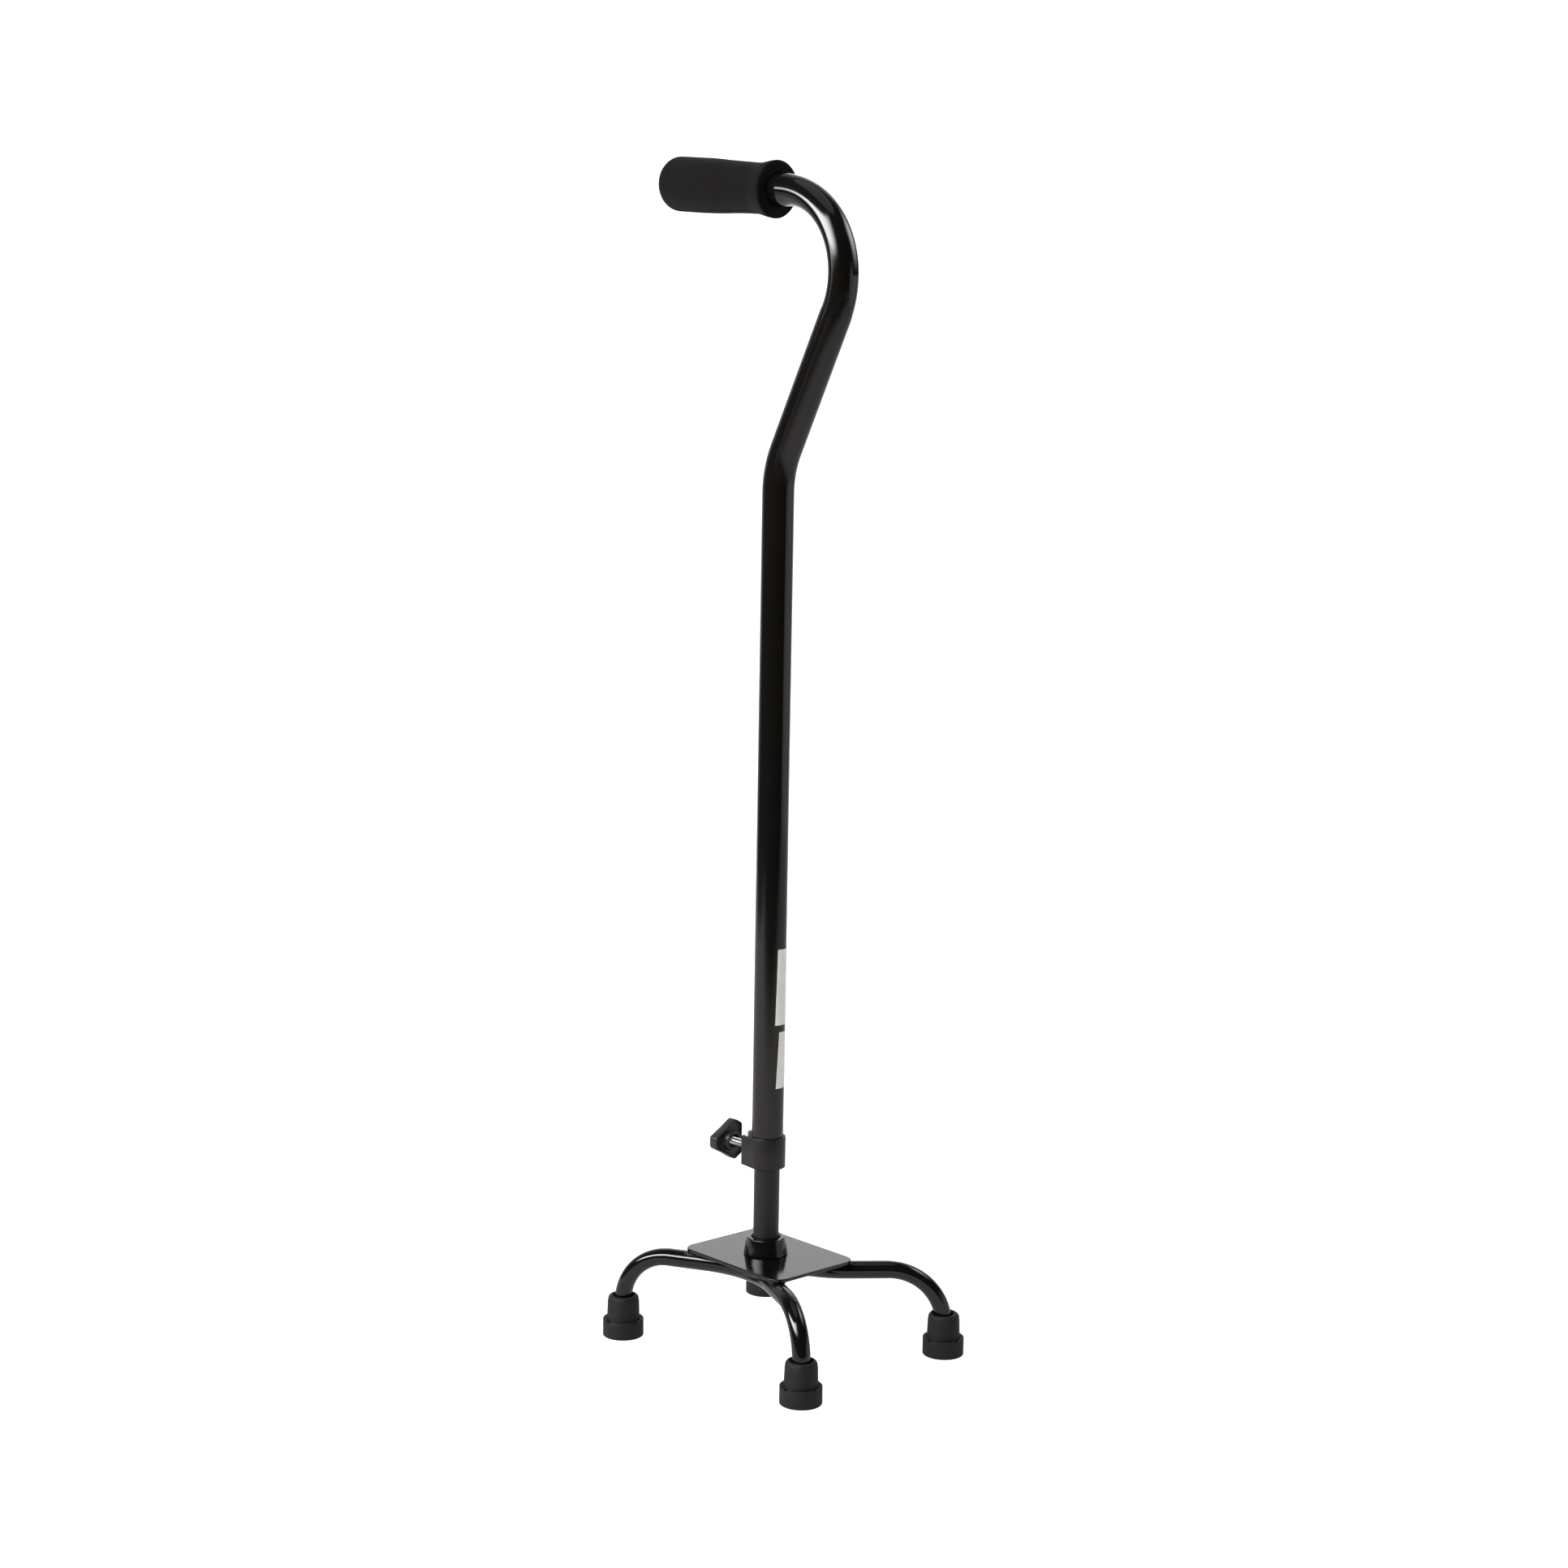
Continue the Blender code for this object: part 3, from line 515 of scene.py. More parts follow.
def moulded_plastic():
    """Black moulded plastic: fine erosion texture, faint flow marks."""
    look = Finish("black_plastic_finish")
    flow = look.noise(1, 3, 0.5, stretch=(40, 160, 160))
    look.set(Base_Color=look.blend(flow, (0.0150, 0.0132, 0.0136), (0.0300, 0.0266, 0.0272)))
    look.set(Roughness=look.ramp(look.noise(80, 3, 0.6, seed=2.0), 0.2, 0.8, 0.34, 0.48), IOR=1.5)
    look.bump(look.noise(2400, 2, 0.6), 0.000026, 0.5)
    return look.material


def natural_nylon():
    """Undyed nylon: off-white, slightly translucent."""
    look = Finish("white_nylon_finish")
    tone = look.noise(90, 3, 0.5)
    look.set(Base_Color=look.blend(tone, (0.66, 0.65, 0.60), (0.78, 0.77, 0.73)))
    look.set(Roughness=look.ramp(tone, 0.3, 0.7, 0.32, 0.46))
    look.set(Subsurface_Weight=0.08, Subsurface_Scale=0.002)
    look.bump(look.noise(1800, 2, 0.5), 0.000020, 0.4)
    return look.material


def bright_zinc():
    """Zinc-plated steel: fine brushing, cloudy roughness, a few dull spots."""
    look = Finish("zinc_steel_finish")
    cloud = look.noise(160, 4, 0.6)
    brushed = look.noise(1, 2, 0.5, stretch=(300, 5200, 5200), seed=1.0)
    look.set(Base_Color=look.blend(cloud, (0.78, 0.80, 0.80), (0.93, 0.94, 0.93)), Metallic=1.0)
    look.set(Roughness=look.ramp(cloud, 0.25, 0.8, 0.12, 0.24))
    look.bump(brushed, 0.000010, 0.4)
    return look.material


def grained_zinc():
    """Dull zinc plate on rough sheet: pale, grainy, blotched."""
    look = Finish("grained_zinc_finish")
    grain = look.noise(1700, 3, 0.7)
    blotch = look.noise(260, 4, 0.6, seed=2.0)
    tone = look.math("ADD", look.math("MULTIPLY", grain, 0.6), look.math("MULTIPLY", blotch, 0.4))
    look.set(Base_Color=look.blend(tone, (0.62, 0.61, 0.60), (0.95, 0.94, 0.92)))
    look.set(Roughness=look.ramp(grain, 0.2, 0.8, 0.48, 0.72))
    look.bump(grain, 0.000060, 0.7)
    return look.material


def strip_steel():
    look = Finish("spring_steel_finish")
    grain = look.noise(1, 3, 0.6, stretch=(4200, 240, 240))
    look.set(Base_Color=look.blend(grain, (0.30, 0.31, 0.34), (0.52, 0.53, 0.55)), Metallic=1.0)
    look.set(Roughness=look.ramp(look.noise(220, 3), 0.3, 0.7, 0.24, 0.40))
    look.bump(grain, 0.000010, 0.5)
    return look.material


def turned_brass():
    look = Finish("brass_finish")
    tarnish = look.noise(420, 4, 0.6)
    look.set(Base_Color=look.blend(tarnish, (0.52, 0.36, 0.15), (0.78, 0.58, 0.28)), Metallic=1.0)
    look.set(Roughness=look.ramp(tarnish, 0.3, 0.7, 0.22, 0.42))
    look.bump(look.noise(3200, 2), 0.000008, 0.5)
    return look.material


def label_paper():
    """Plain coated paper: blank, faintly fibrous, aged in patches, with a faint painted glow in its own
    colour.
    """
    look = Finish("label_paper_finish")
    fibre = look.noise(1, 4, 0.65, stretch=(900, 900, 260))
    age = look.noise(60, 3, 0.5, seed=2.0)
    paper = look.blend(look.ramp(age, 0.3, 0.75), (0.90, 0.89, 0.85), (0.80, 0.79, 0.75))
    look.set(Base_Color=paper, Roughness=look.ramp(fibre, 0.3, 0.7, 0.48, 0.66), IOR=1.45)
    look.bump(fibre, 0.000030, 0.5)
    # painted glow: the paper emits a little of its own colour, as if lit from within
    look.set(Emission_Color=paper, Emission_Strength=0.16)
    return look.material


ENAMEL = gloss_enamel()
SATIN = satin_enamel()
RUBBER = moulded_rubber()
FOAM = cell_foam()
PLASTIC = moulded_plastic()
NYLON = natural_nylon()
ZINC = bright_zinc()
GRAINED = grained_zinc()
SPRING = strip_steel()
BRASS = turned_brass()
PAPER = label_paper()


# The upper tube, the handle and the grip


def upper_path():
    """The upper tube's centreline, from its foot to the end of the bend above the grip."""
    path = TubePath((AXIS_X, AXIS_Y, node_low("upper_tube").z), (0, 0, 1), (1, 0, 0))
    path.straight(NECK_START - path.point.z, 160)
    path.bend((0, 1, 0), NECK_FORWARD_RADIUS, NECK_LEAN)
    path.straight(NECK_SLANT, 4)
    path.bend((0, -1, 0), NECK_RETURN_RADIUS, NECK_LEAN + math.pi / 2 - GRIP_RISE, NECK_FLATTENING)
    return path


def build_upper_tube():
    path = upper_path()
    path.straight(HANDLE_STRAIGHT, 4)
    shell = tube(path.stations, UPPER_RADIUS, WALL, TUBE_SIDES)
    made = piece("gooseneck_tube", shell, "upper", ENAMEL, ["upper_tube"])
    near, far = UPPER_RADIUS / 2, UPPER_RADIUS * 1.5
    holes = [side_hole(HOLE_RADIUS, BUTTON_Z + HOLE_PITCH * step, near, far) for step in HOLE_STEPS]
    holes.append(side_hole(SCREW_HOLE_RADIUS, SCREW_Z, near, far))
    combine(made, holes)


def handle_place():
    """Puts a lathe's +Z along the handle, rearwards and slightly up."""
    turn = Matrix.Rotation(-(math.pi / 2 - GRIP_RISE), 4, "Y")
    return Matrix.Translation(upper_path().point) @ turn


def build_grip():
    """Moulded foam sleeve: flared lip, waist, body that swells to a round closed end."""
    start, length = 0.0106, 0.1070
    front_round, end_round = 0.0016, 0.0105
    bore = UPPER_RADIUS + GAP
    depth = HANDLE_STRAIGHT - start + 0.0022

    def radius(distance):
        flare = 0.0023 * (1 - smoothstep(distance / 0.0180))
        swell = 0.0017 * smoothstep((distance - 0.0180) / 0.0600)
        return 0.01740 + flare + swell

    lip = radius(0) - front_round
    face = [(mix(bore + 0.0006, lip, step / 6), 0.0) for step in range(7)]
    outline = [(0, depth), (bore, depth), (bore, depth / 2), (bore, 0.0006)] + face
    outline += arc((lip, front_round), front_round, -60, 0, 3)
    body = 64
    stops = [mix(front_round, length - end_round, step / body) for step in range(1, body)]
    outline += [(radius(at), at) for at in stops]
    rear = radius(length - end_round) - end_round
    outline += arc((rear, length - end_round), end_round, 0, 90, 14)
    outline += [(rear * share, length) for share in (0.8, 0.6, 0.4, 0.2)]
    outline += [(0, length)]
    bm = lathe(outline, FINE)
    for vert in bm.verts:
        across = Vector((vert.co.x, vert.co.y, 0))
        if across.length < bore + 0.0004:
            continue
        soft = noise.noise(vert.co * 46) * 0.00022
        fine = noise.noise(vert.co * 210 + Vector((7, 3, 1))) * 0.00007
        vert.co += across.normalized() * (soft + fine - 0.00022)
    bm.transform(handle_place() @ Matrix.Translation((0, 0, start)))
    piece("foam_sleeve", bm, "upper", FOAM, ["foam_grip"], math.radians(50))


def build_handle_plug():
    """Plug in the tube's end, inside the grip."""
    stem = UPPER_RADIUS - WALL - GAP
    end = HANDLE_STRAIGHT + GAP
    flange = UPPER_RADIUS - 0.0003
    outline = [(0, end - 0.0100), (stem - 0.0006, end - 0.0100), (stem, end - 0.0090)]
    outline += [(stem, end), (flange, end)]
    outline += arc((flange - 0.0006, end + 0.0007), 0.0006, 0, 90, 4)
    outline += [(0, end + 0.0013)]
    bm = lathe(outline, 64, place=handle_place())
    piece("handle_end_plug", bm, "upper", PLASTIC, ["handle_plug"])


# The clamp


def teardrop(radius, ear_end, steps=64):
    """The collar's outline from above: a ring with an ear whose walls run off it as tangents."""
    taper = 8.9
    lean = math.radians(taper)
    half = (radius - math.sin(lean) * ear_end) / math.cos(lean)
    points = arc((0, 0), radius, -90 - taper, 90 + taper, steps)
    corner = 0.0007
    points += [(-ear_end + corner, half + math.tan(lean) * corner)]
    points += [(-ear_end, half - corner), (-ear_end, corner - half)]
    points += [(-ear_end + corner, -half - math.tan(lean) * corner)]
    return [(x + AXIS_X, y + AXIS_Y) for x, y in points]


def build_collar():
    """Cup round the tubes with an ear for the nut plate; the ear's top edge falls away a little."""
    low, high = levels("clamp_collar")
    radius, ear, wall, floor = 0.0129, 0.0162, 0.0015, 0.0012
    body = slab(teardrop(radius, ear), low, high, 0.0004, 3)
    for vert in body.verts:
        if vert.co.z > (low + high) / 2 and vert.co.x < AXIS_X - ear / 2:
            vert.co.z -= 0.0013
    made = piece("clamp_collar_shell", body, "upper", SATIN, ["clamp_collar"])
    pocket = slab(teardrop(radius - wall, ear - wall), low + floor, high + CUT_PAST, 0.0001, 1)
    bore = post(SLEEVE_BORE, low - CUT_PAST, low + 2 * CUT_PAST, FINE)
    combine(made, [pocket, bore, side_hole(SCREW_HOLE_RADIUS, SCREW_Z, radius, ear + CUT_PAST)])


def build_bushing():
    """Nylon ring between the collar and the lower tube."""
    low, high = levels("collar_bushing")
    outer, edge = UPPER_RADIUS, 0.0003
    outline = [(SLEEVE_BORE, low), (outer - edge, low), (outer, low + edge)]
    outline += [(outer, high - edge), (outer - edge, high)]
    outline += [(SLEEVE_BORE + edge, high), (SLEEVE_BORE, high - edge)]
    ring = lathe(outline, loop=True, place=on_axis())
    piece("bushing_ring", ring, "upper", NYLON, ["collar_bushing"])


def thread_rings(start, end, radius, pitch, depth, sides=40, rows=10):
    """Rings of a screw thread; each ring is a step further along it."""
    steps = round((end - start) / pitch * rows)
    rings = []
    for step in range(steps + 1):
        along = mix(start, end, step / steps)
        lead_in = smoothstep((along - start) / pitch) * smoothstep((end - along) / pitch)
        ring = []
        for side in range(sides):
            turn = side / sides
            phase = (along / pitch - turn) % 1.0
            crest = abs(phase - 0.5) * 2
            groove = smoothstep(crest * 1.15) * depth
            shrink = depth * 1.1 * (1 - lead_in)
            ring.append(Vector((*polar(radius - max(groove, shrink), 2 * math.pi * turn), along)))
        rings.append(ring)
    return rings


def build_screw():
    """M6 clamp screw with a real thread and a dog point against the pad."""
    radius, pitch, depth = 0.00295, 0.0010, 0.00055
    start, end = 0.0110, 0.0418
    rings = [[Vector((0, 0, start))]]
    rings += [[Vector((*polar(0.0021, 2 * math.pi * side / 40), start)) for side in range(40)]]
    rings += thread_rings(start + 0.0012, end, radius, pitch, depth)
    rings += [[Vector((0, 0, end))]]
    bm = stitched(rings, close_ends=False)
    bm.transform(along_screw())
    piece("threaded_clamp_screw", bm, "knob", ZINC, ["clamp_screw"], math.radians(60))


def lobed(offset=0.0, steps=180):
    """The knob's outline, drawn in by an offset: three flat-ended lobes, one straight down."""
    sharp, half_lobe = 24, math.pi / 3
    points = []
    for step in range(steps):
        angle = 2 * math.pi * step / steps
        off_lobe = abs((angle + math.pi / 2 + half_lobe) % (2 * half_lobe) - half_lobe)
        end = (0.0150 - offset) / math.cos(off_lobe)
        side = (0.0110 - offset) / math.cos(half_lobe - off_lobe) - 0.0004 * off_lobe / half_lobe
        points.append(polar((end ** -sharp + side ** -sharp) ** (-1 / sharp), angle))
    return points


def build_knob():
    """Moulded knob: a rimmed pocket and a dished boss towards the collar, a dished far face."""
    steps = 180
    boss_face, face, back = 0.0336, 0.0368, 0.0446
    rim, pocket = 0.0013, 0.0016

    def circle(radius, height):
        return [Vector((*polar(radius, 2 * math.pi * step / steps), height)) for step in range(steps)]

    def outline(offset, height):
        return [Vector((point.x, point.y, height)) for point in lobed(offset, steps)]

    def between(share, height, offset, radius):
        inner, outer = circle(radius, height), outline(offset, height)
        return [a.lerp(b, share) for a, b in zip(inner, outer)]

    screw, hub_end, back_dish = 0.0032, boss_face + 0.0085, back - 0.0010
    rings = [[Vector((0, 0, hub_end))]]
    for radius, height in (
        (screw, hub_end), (screw, boss_face + 0.0034), (0.0038, boss_face + 0.0032),
        (0.0043, boss_face + 0.0026), (0.0048, boss_face + 0.0005), (0.0052, boss_face + 0.0001),
        (0.0056, boss_face), (0.0064, boss_face), (0.0068, boss_face + 0.0004),
        (0.0069, face - 0.0003), (0.0073, face + pocket - 0.0004), (0.0077, face + pocket),
    ):
        rings.append(circle(radius, height))
    rings += [between(share, face + pocket, rim + 0.0009, 0.0077) for share in (0.5, 1.0)]
    for offset, height in (
        (rim + 0.0004, face + pocket - 0.0003), (rim + 0.0001, face + 0.0004), (rim - 0.0002, face),
        (0.0006, face), (0.0002, face + 0.0003), (0.0, face + 0.0008), (0.0, back - 0.0014),
        (0.0003, back - 0.0007), (0.0009, back - 0.0002), (0.0016, back),
    ):
        rings.append(outline(offset, height))
    rings += [between(share, back - 0.0001, 0.0016, 0.0060) for share in (0.6, 0.2)]
    for radius, height in (
        (0.0058, back - 0.0003), (0.0054, back - 0.0009), (0.0048, back_dish), (0.0020, back_dish),
    ):
        rings.append(circle(radius, height))
    rings.append([Vector((0, 0, back_dish))])
    bm = stitched(rings, close_ends=False)
    bm.transform(along_screw())
    piece("lobed_knob", bm, "knob", PLASTIC, ["clamp_knob"], math.radians(50))


def build_pad():
    """Brass disc that the screw presses on the inner tube."""
    radius, outer, back_edge, front_edge = 0.0028, 0.0107, 0.0003, 0.0002
    back = outer - 0.0013
    outline = [(0, back), (radius - back_edge, back), (radius, back + back_edge)]
    outline += [(radius, outer - front_edge), (radius - front_edge, outer), (0, outer)]
    piece("brass_pad", lathe(outline, 48, place=along_screw()), "clamp_pad", BRASS, ["pressure_pad"])


# The lower tube and what it holds


def build_lower_tube():
    low, high = levels("lower_tube")
    path = TubePath((AXIS_X, AXIS_Y, low), (0, 0, 1), (1, 0, 0))
    path.straight(high - low, 40)
    shell = tube(path.stations, LOWER_RADIUS, WALL, TUBE_SIDES)
    made = piece("inner_tube", shell, "base", SATIN, ["lower_tube"])
    combine(made, [side_hole(HOLE_RADIUS, BUTTON_Z, LOWER_RADIUS / 2, LOWER_RADIUS * 2)])


def build_glide():
    """Flanged ring in the lower tube's top end."""
    low, high = levels("tube_glide")
    stem = LOWER_RADIUS - WALL - GAP
    flange = high - 0.0040
    outline = [(stem / 2, low), (stem - 0.0004, low), (stem, low + 0.0006)]
    outline += [(stem, flange), (0.0096, flange)]
    outline += arc((0.0088, high - 0.0008), 0.0008, 0, 90, 5)
    outline += [(stem / 2, high)]
    piece("tube_end_glide", lathe(outline, loop=True, place=on_axis()), "base", NYLON, ["tube_glide"])


def build_button():
    """Snap button: a flanged foot inside the tube and a domed end."""
    outer, foot, back, dome, edge = 0.0127, 0.0061, 0.0049, 0.0011, 0.0003
    radius, foot_radius = 0.0038, 0.0045
    outline = [(0, back), (foot_radius - edge, back), (foot_radius, back + edge)]
    outline += [(foot_radius, foot), (radius, foot), (radius, outer - dome)]
    for angle in [math.radians(15 * step) for step in range(1, 6)]:
        outline.append((radius * math.cos(angle), outer - dome + dome * math.sin(angle)))
    outline += [(0, outer)]
    piece("domed_button", lathe(outline, 64, place=along_screw(BUTTON_Z)), "button", ZINC, ["snap_button"])


def build_spring():
    """V-shaped leaf spring: one arm on the button's foot, the other on the tube's far wall.
    """
    low, high = node_low("button_spring"), node_high("button_spring")
    half_strip, half_width, bend = 0.0003, 0.0032, 0.0022
    front, back = low.x + half_strip, high.x - half_strip
    line = [Vector((front, high.z)), Vector((front, high.z - 0.0090))]
    line += [Vector(point) for point in arc((AXIS_X, low.z + bend), bend - half_strip, 180, 360, 16)]
    line += [Vector((back, BUTTON_Z)), Vector((back, high.z))]
    strip = [(-half_strip, -half_width), (half_strip, -half_width)]
    strip += [(half_strip, half_width), (-half_strip, half_width)]
    rings = []
    for index, point in enumerate(line):
        run = (line[min(index + 1, len(line) - 1)] - line[max(index - 1, 0)]).normalized()
        out = Vector((-run.y, 0, run.x))
        place = Vector((point.x, AXIS_Y, point.y))
        rings.append([place + out * across + Vector((0, along, 0)) for across, along in strip])
    made = piece("leaf_spring", stitched(rings), "base", SPRING, ["button_spring"])
    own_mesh(made)


# The base


def leg_path(side):
    """One leg tube's path from its rear foot to its front foot; side is -1 right, +1 left."""
    name = SIDES[side]
    arm, apex_radius, drop_radius = RIGHT_ARM if side < 0 else LEFT_ARM
    rear, front = middle(f"rubber_tip_rear_{name}"), middle(f"rubber_tip_front_{name}")
    rise = LEG_TOP_Z - drop_radius - LEG_START_Z
    inward = Vector((math.cos(arm), -side * math.sin(arm), 0))
    outward = Vector((math.cos(arm), side * math.sin(arm), 0))
    reach = (front.x - rear.x) / 2 / math.cos(arm)
    level = reach - drop_radius - apex_radius * math.tan(arm)
    up = Vector((0, 0, 1))
    path = TubePath((rear.x, rear.y, LEG_START_Z), up, inward)
    path.straight(rise, 2)
    path.bend(up.cross(inward), drop_radius, math.pi / 2, LEG_FLATTENING)
    path.straight(level, 2)
    path.bend((0, 0, side), apex_radius, 2 * arm, LEG_FLATTENING)
    path.straight(level, 2)
    path.bend(up.cross(outward), drop_radius, math.pi / 2, LEG_FLATTENING)
    path.straight(rise, 2)
    return path


def build_leg(side):
    name = SIDES[side]
    shell = tube(leg_path(side).stations, LEG_RADIUS, WALL, LEG_SIDES)
    piece(f"{name}_leg_bar", shell, "base", ENAMEL, [f"{name}_leg_tube"])


def build_tip(end, side):
    """Rubber tip, from the floor up: ringed tread, notched band, crease, cone and soft lip."""
    name = f"rubber_tip_{end}_{side}"
    centre = middle(name)
    bore, floor, groove = LEG_RADIUS + GAP, 0.0060, 0.0012
    band, height = 0.0127, node_high(name).z
    radius = node_size(name).x / 2
    outline = [(0, groove)]
    for ring in (0.0028, 0.0062, 0.0096):
        outline += [(ring - 0.0004, groove), (ring, 0.0), (ring + 0.0016, 0.0), (ring + 0.0020, groove)]
    outline += [(0.0126, groove), (0.0129, 0.0)]
    outline += arc((radius - 0.0008, 0.0008), 0.0008, -60, 0, 4)
    outline += [(radius, 0.0045), (radius, 0.0085)]
    outline += arc((radius - 0.0004, band - 0.0004), 0.0004, 0, 90, 3)
    outline += [(0.0127, band), (0.0125, band - 0.0002), (0.0123, band - 0.0006)]
    outline += [(0.0120, band - 0.0006), (0.0119, band - 0.0001), (0.01185, band + 0.0006)]
    for share in (0.15, 0.35, 0.55, 0.7, 0.76):
        outline.append((mix(0.0118, 0.0112, share), mix(band, height, share)))
    outline += [(0.01105, height - 0.0039), (0.01105, height - 0.0035)]
    outline += arc((0.0111 - 0.0030, height - 0.0030), 0.0030, 0, 70, 8)
    outline += arc((bore + 0.0022, height - 0.0010), 0.0009, 80, 180, 5)
    outline += [(bore + 0.0010, height - 0.0024), (bore + 0.0004, height - 0.0040), (bore, height - 0.0056)]
    outline += [(bore, mix(height, floor, 0.5)), (bore, floor), (0, floor)]
    bm = lathe(outline, 120, place=Matrix.Translation((centre.x, centre.y, 0)))
    for vert in bm.verts:
        offset = Vector((vert.co.x - centre.x, vert.co.y - centre.y))
        if offset.length < 0.0124 or not band - 0.0009 < vert.co.z < band + 0.0004:
            continue
        turn = (math.degrees(math.atan2(offset.y, offset.x)) + 45) % 90 - 45
        notch = 1 - smoothstep((abs(turn) - 5.5) / 2.5)
        vert.co.z -= 0.0011 * notch
    lean_hole(bm, centre, side, end, bore)
    piece(f"tip_{end}_{side}", bm, "base", RUBBER, [name], math.radians(38))


def lean_hole(bm, centre, side, end, bore):
    """Draws the lip of the bore over to where the bending leg leaves it."""
    path = leg_path(-1 if side == "right" else 1)
    stations = path.stations if end == "rear" else path.stations[::-1]
    stations = stations[:len(stations) // 3]
    for vert in bm.verts:
        offset = Vector((vert.co.x - centre.x, vert.co.y - centre.y))
        if offset.length > bore + 0.0021 or vert.co.z < 0.008:
            continue
        near = min(stations, key=lambda station: abs(station[0].z - vert.co.z))
        shift = near[0] - Vector((centre.x, centre.y, near[0].z))
        vert.co.x += shift.x
        vert.co.y += shift.y


def rounded_rectangle(length, width, radius, steps=14):
    points = []
    for quarter, (sign_x, sign_y) in enumerate([(1, 1), (-1, 1), (-1, -1), (1, -1)]):
        centre = (sign_x * (length / 2 - radius), sign_y * (width / 2 - radius))
        points += arc(centre, radius, 90 * quarter, 90 * quarter + 90, steps)
    return points


def build_plate():
    turn = Matrix.Rotation(PLATE_TURN, 2)
    centre = middle("base_plate").xy
    outline = [turn @ Vector(point) + centre for point in rounded_rectangle(*PLATE_SIZE, PLATE_CORNER)]
    sheet = slab(outline, PLATE_BOTTOM, PLATE_TOP, 0.0006, 5)
    made = piece("weld_plate", sheet, "base", ENAMEL, ["base_plate"])
    combine(made, [post(BOLT_HOLE_RADIUS, 0.06, 0.08)], sharp=math.radians(25))
    flat_caps(made)


def flat_caps(made):
    """Keeps large level faces dead flat in their reflections."""
    for face in made.data.polygons:
        if abs(face.normal.z) > 0.9999:
            face.use_smooth = False


def build_hub():
    """Tapered socket on the plate that holds the shaft's foot."""
    low, high = levels("base_hub")
    bore, bottom, top, rim = LOWER_RADIUS + 0.0004, 0.01565, 0.0137, 0.0008
    outline = [(bore, low), (bottom - 0.0003, low), (bottom, low + 0.0003)]
    outline += [(mix(bottom, top, share), mix(low, high, share)) for share in (0.12, 0.4, 0.7)]
    outline += arc((top - rim, high - rim), rim, 5, 90, 7)
    outline += [(bore + 0.0013, high), (bore + 0.0009, high - 0.0003)]
    outline += [(bore + 0.0003, high - 0.0016), (bore, high - 0.0030)]
    piece("shaft_hub", lathe(outline, loop=True, place=on_axis()), "base", ENAMEL, ["base_hub"])


def build_bolt():
    """M8 bolt: chamfered hexagon head with a washer face, plain shank."""
    low, head_top, end = node_low("base_bolt").z, 0.0645, node_high("base_bolt").z
    corner = 0.0065 / math.cos(math.pi / 6)
    hexagon = [tuple(polar(corner, math.pi / 3 * side) + Vector((AXIS_X, AXIS_Y))) for side in range(6)]
    head = slab(hexagon, low, head_top, 0.0003, 2)
    made = piece("hex_bolt", head, "base", ZINC, ["base_bolt"])
    radius, chamfer, overlap = 0.0039, 0.0008, 0.001
    shank = [(0, head_top - overlap), (radius, head_top - overlap), (radius, end - chamfer)]
    shank += [(radius - chamfer, end), (0, end)]
    combine(made, [lathe(shank, 48, place=on_axis())], "UNION")


def build_washers():
    low, high = levels("flat_washer")
    outer, edge = 0.0080, 0.0002
    outline = [(BOLT_HOLE_RADIUS, low), (outer - edge, low), (outer, low + edge)]
    outline += [(outer, high - edge), (outer - edge, high), (BOLT_HOLE_RADIUS, high)]
    piece("plain_washer", lathe(outline, loop=True, place=on_axis()), "base", ZINC, ["flat_washer"])


def build_welds():
    """Beads where the leg tubes cross under the plate's rim."""
    start = node_size("base_plate").x / 2 - 0.004
    for side in SIDES:
        level = [station for station in leg_path(side).stations if abs(station[0].z - LEG_TOP_Z) < 1e-5]
        for end in (-1, 1):
            for flank in (-1, 1):
                place = f"{'front' if end > 0 else 'rear'}_{'outer' if flank * side > 0 else 'inner'}"
                rings = weld_bead(level, start, end, flank)
                if len(rings) > 6:
                    piece(f"weld_{SIDES[side]}_{place}", stitched(rings), "base", ENAMEL)


def weld_bead(level, start, end, flank):
    """A rippled bead along one flank of a leg, from near the plate's rim towards its middle."""
    run, steps, sides = 0.0300, 60, 14
    rings = []
    for step in range(steps + 1):
        point, heading = point_at_x(level, AXIS_X + end * (start - run * step / steps))
        if point is None:
            continue
        across = Vector((-heading.y, heading.x, 0)) * flank
        seat = point + across * LEG_RADIUS * 0.62 + Vector((0, 0, LEG_RADIUS * 0.86))
        wave = 0.00016 * math.sin(2 * math.pi * step / 3.1)
        swell = noise.noise(seat * 260) * 0.00025
        taper = math.sqrt(max(0.0, 1 - (2 * step / steps - 1) ** 8))
        radius = (0.00125 + wave + swell) * max(taper, 0.15)
        ring = []
        for angle in [2 * math.pi * turn / sides for turn in range(sides)]:
            rise = Vector((0, 0, radius * 0.75 * math.sin(angle)))
            ring.append(seat + across * radius * math.cos(angle) * 1.2 + rise)
        rings.append(ring)
    return rings


def point_at_x(stations, x):
    """(centre, heading) of the level part of a leg where it crosses an x."""
    for near, far in zip(stations, stations[1:]):
        low, high = sorted((near[0].x, far[0].x))
        if low <= x <= high:
            share = (x - near[0].x) / (far[0].x - near[0].x)
            return near[0].lerp(far[0], share), near[1].lerp(far[1], share).normalized()
    return None, None


# Labels on the upper tube, blank


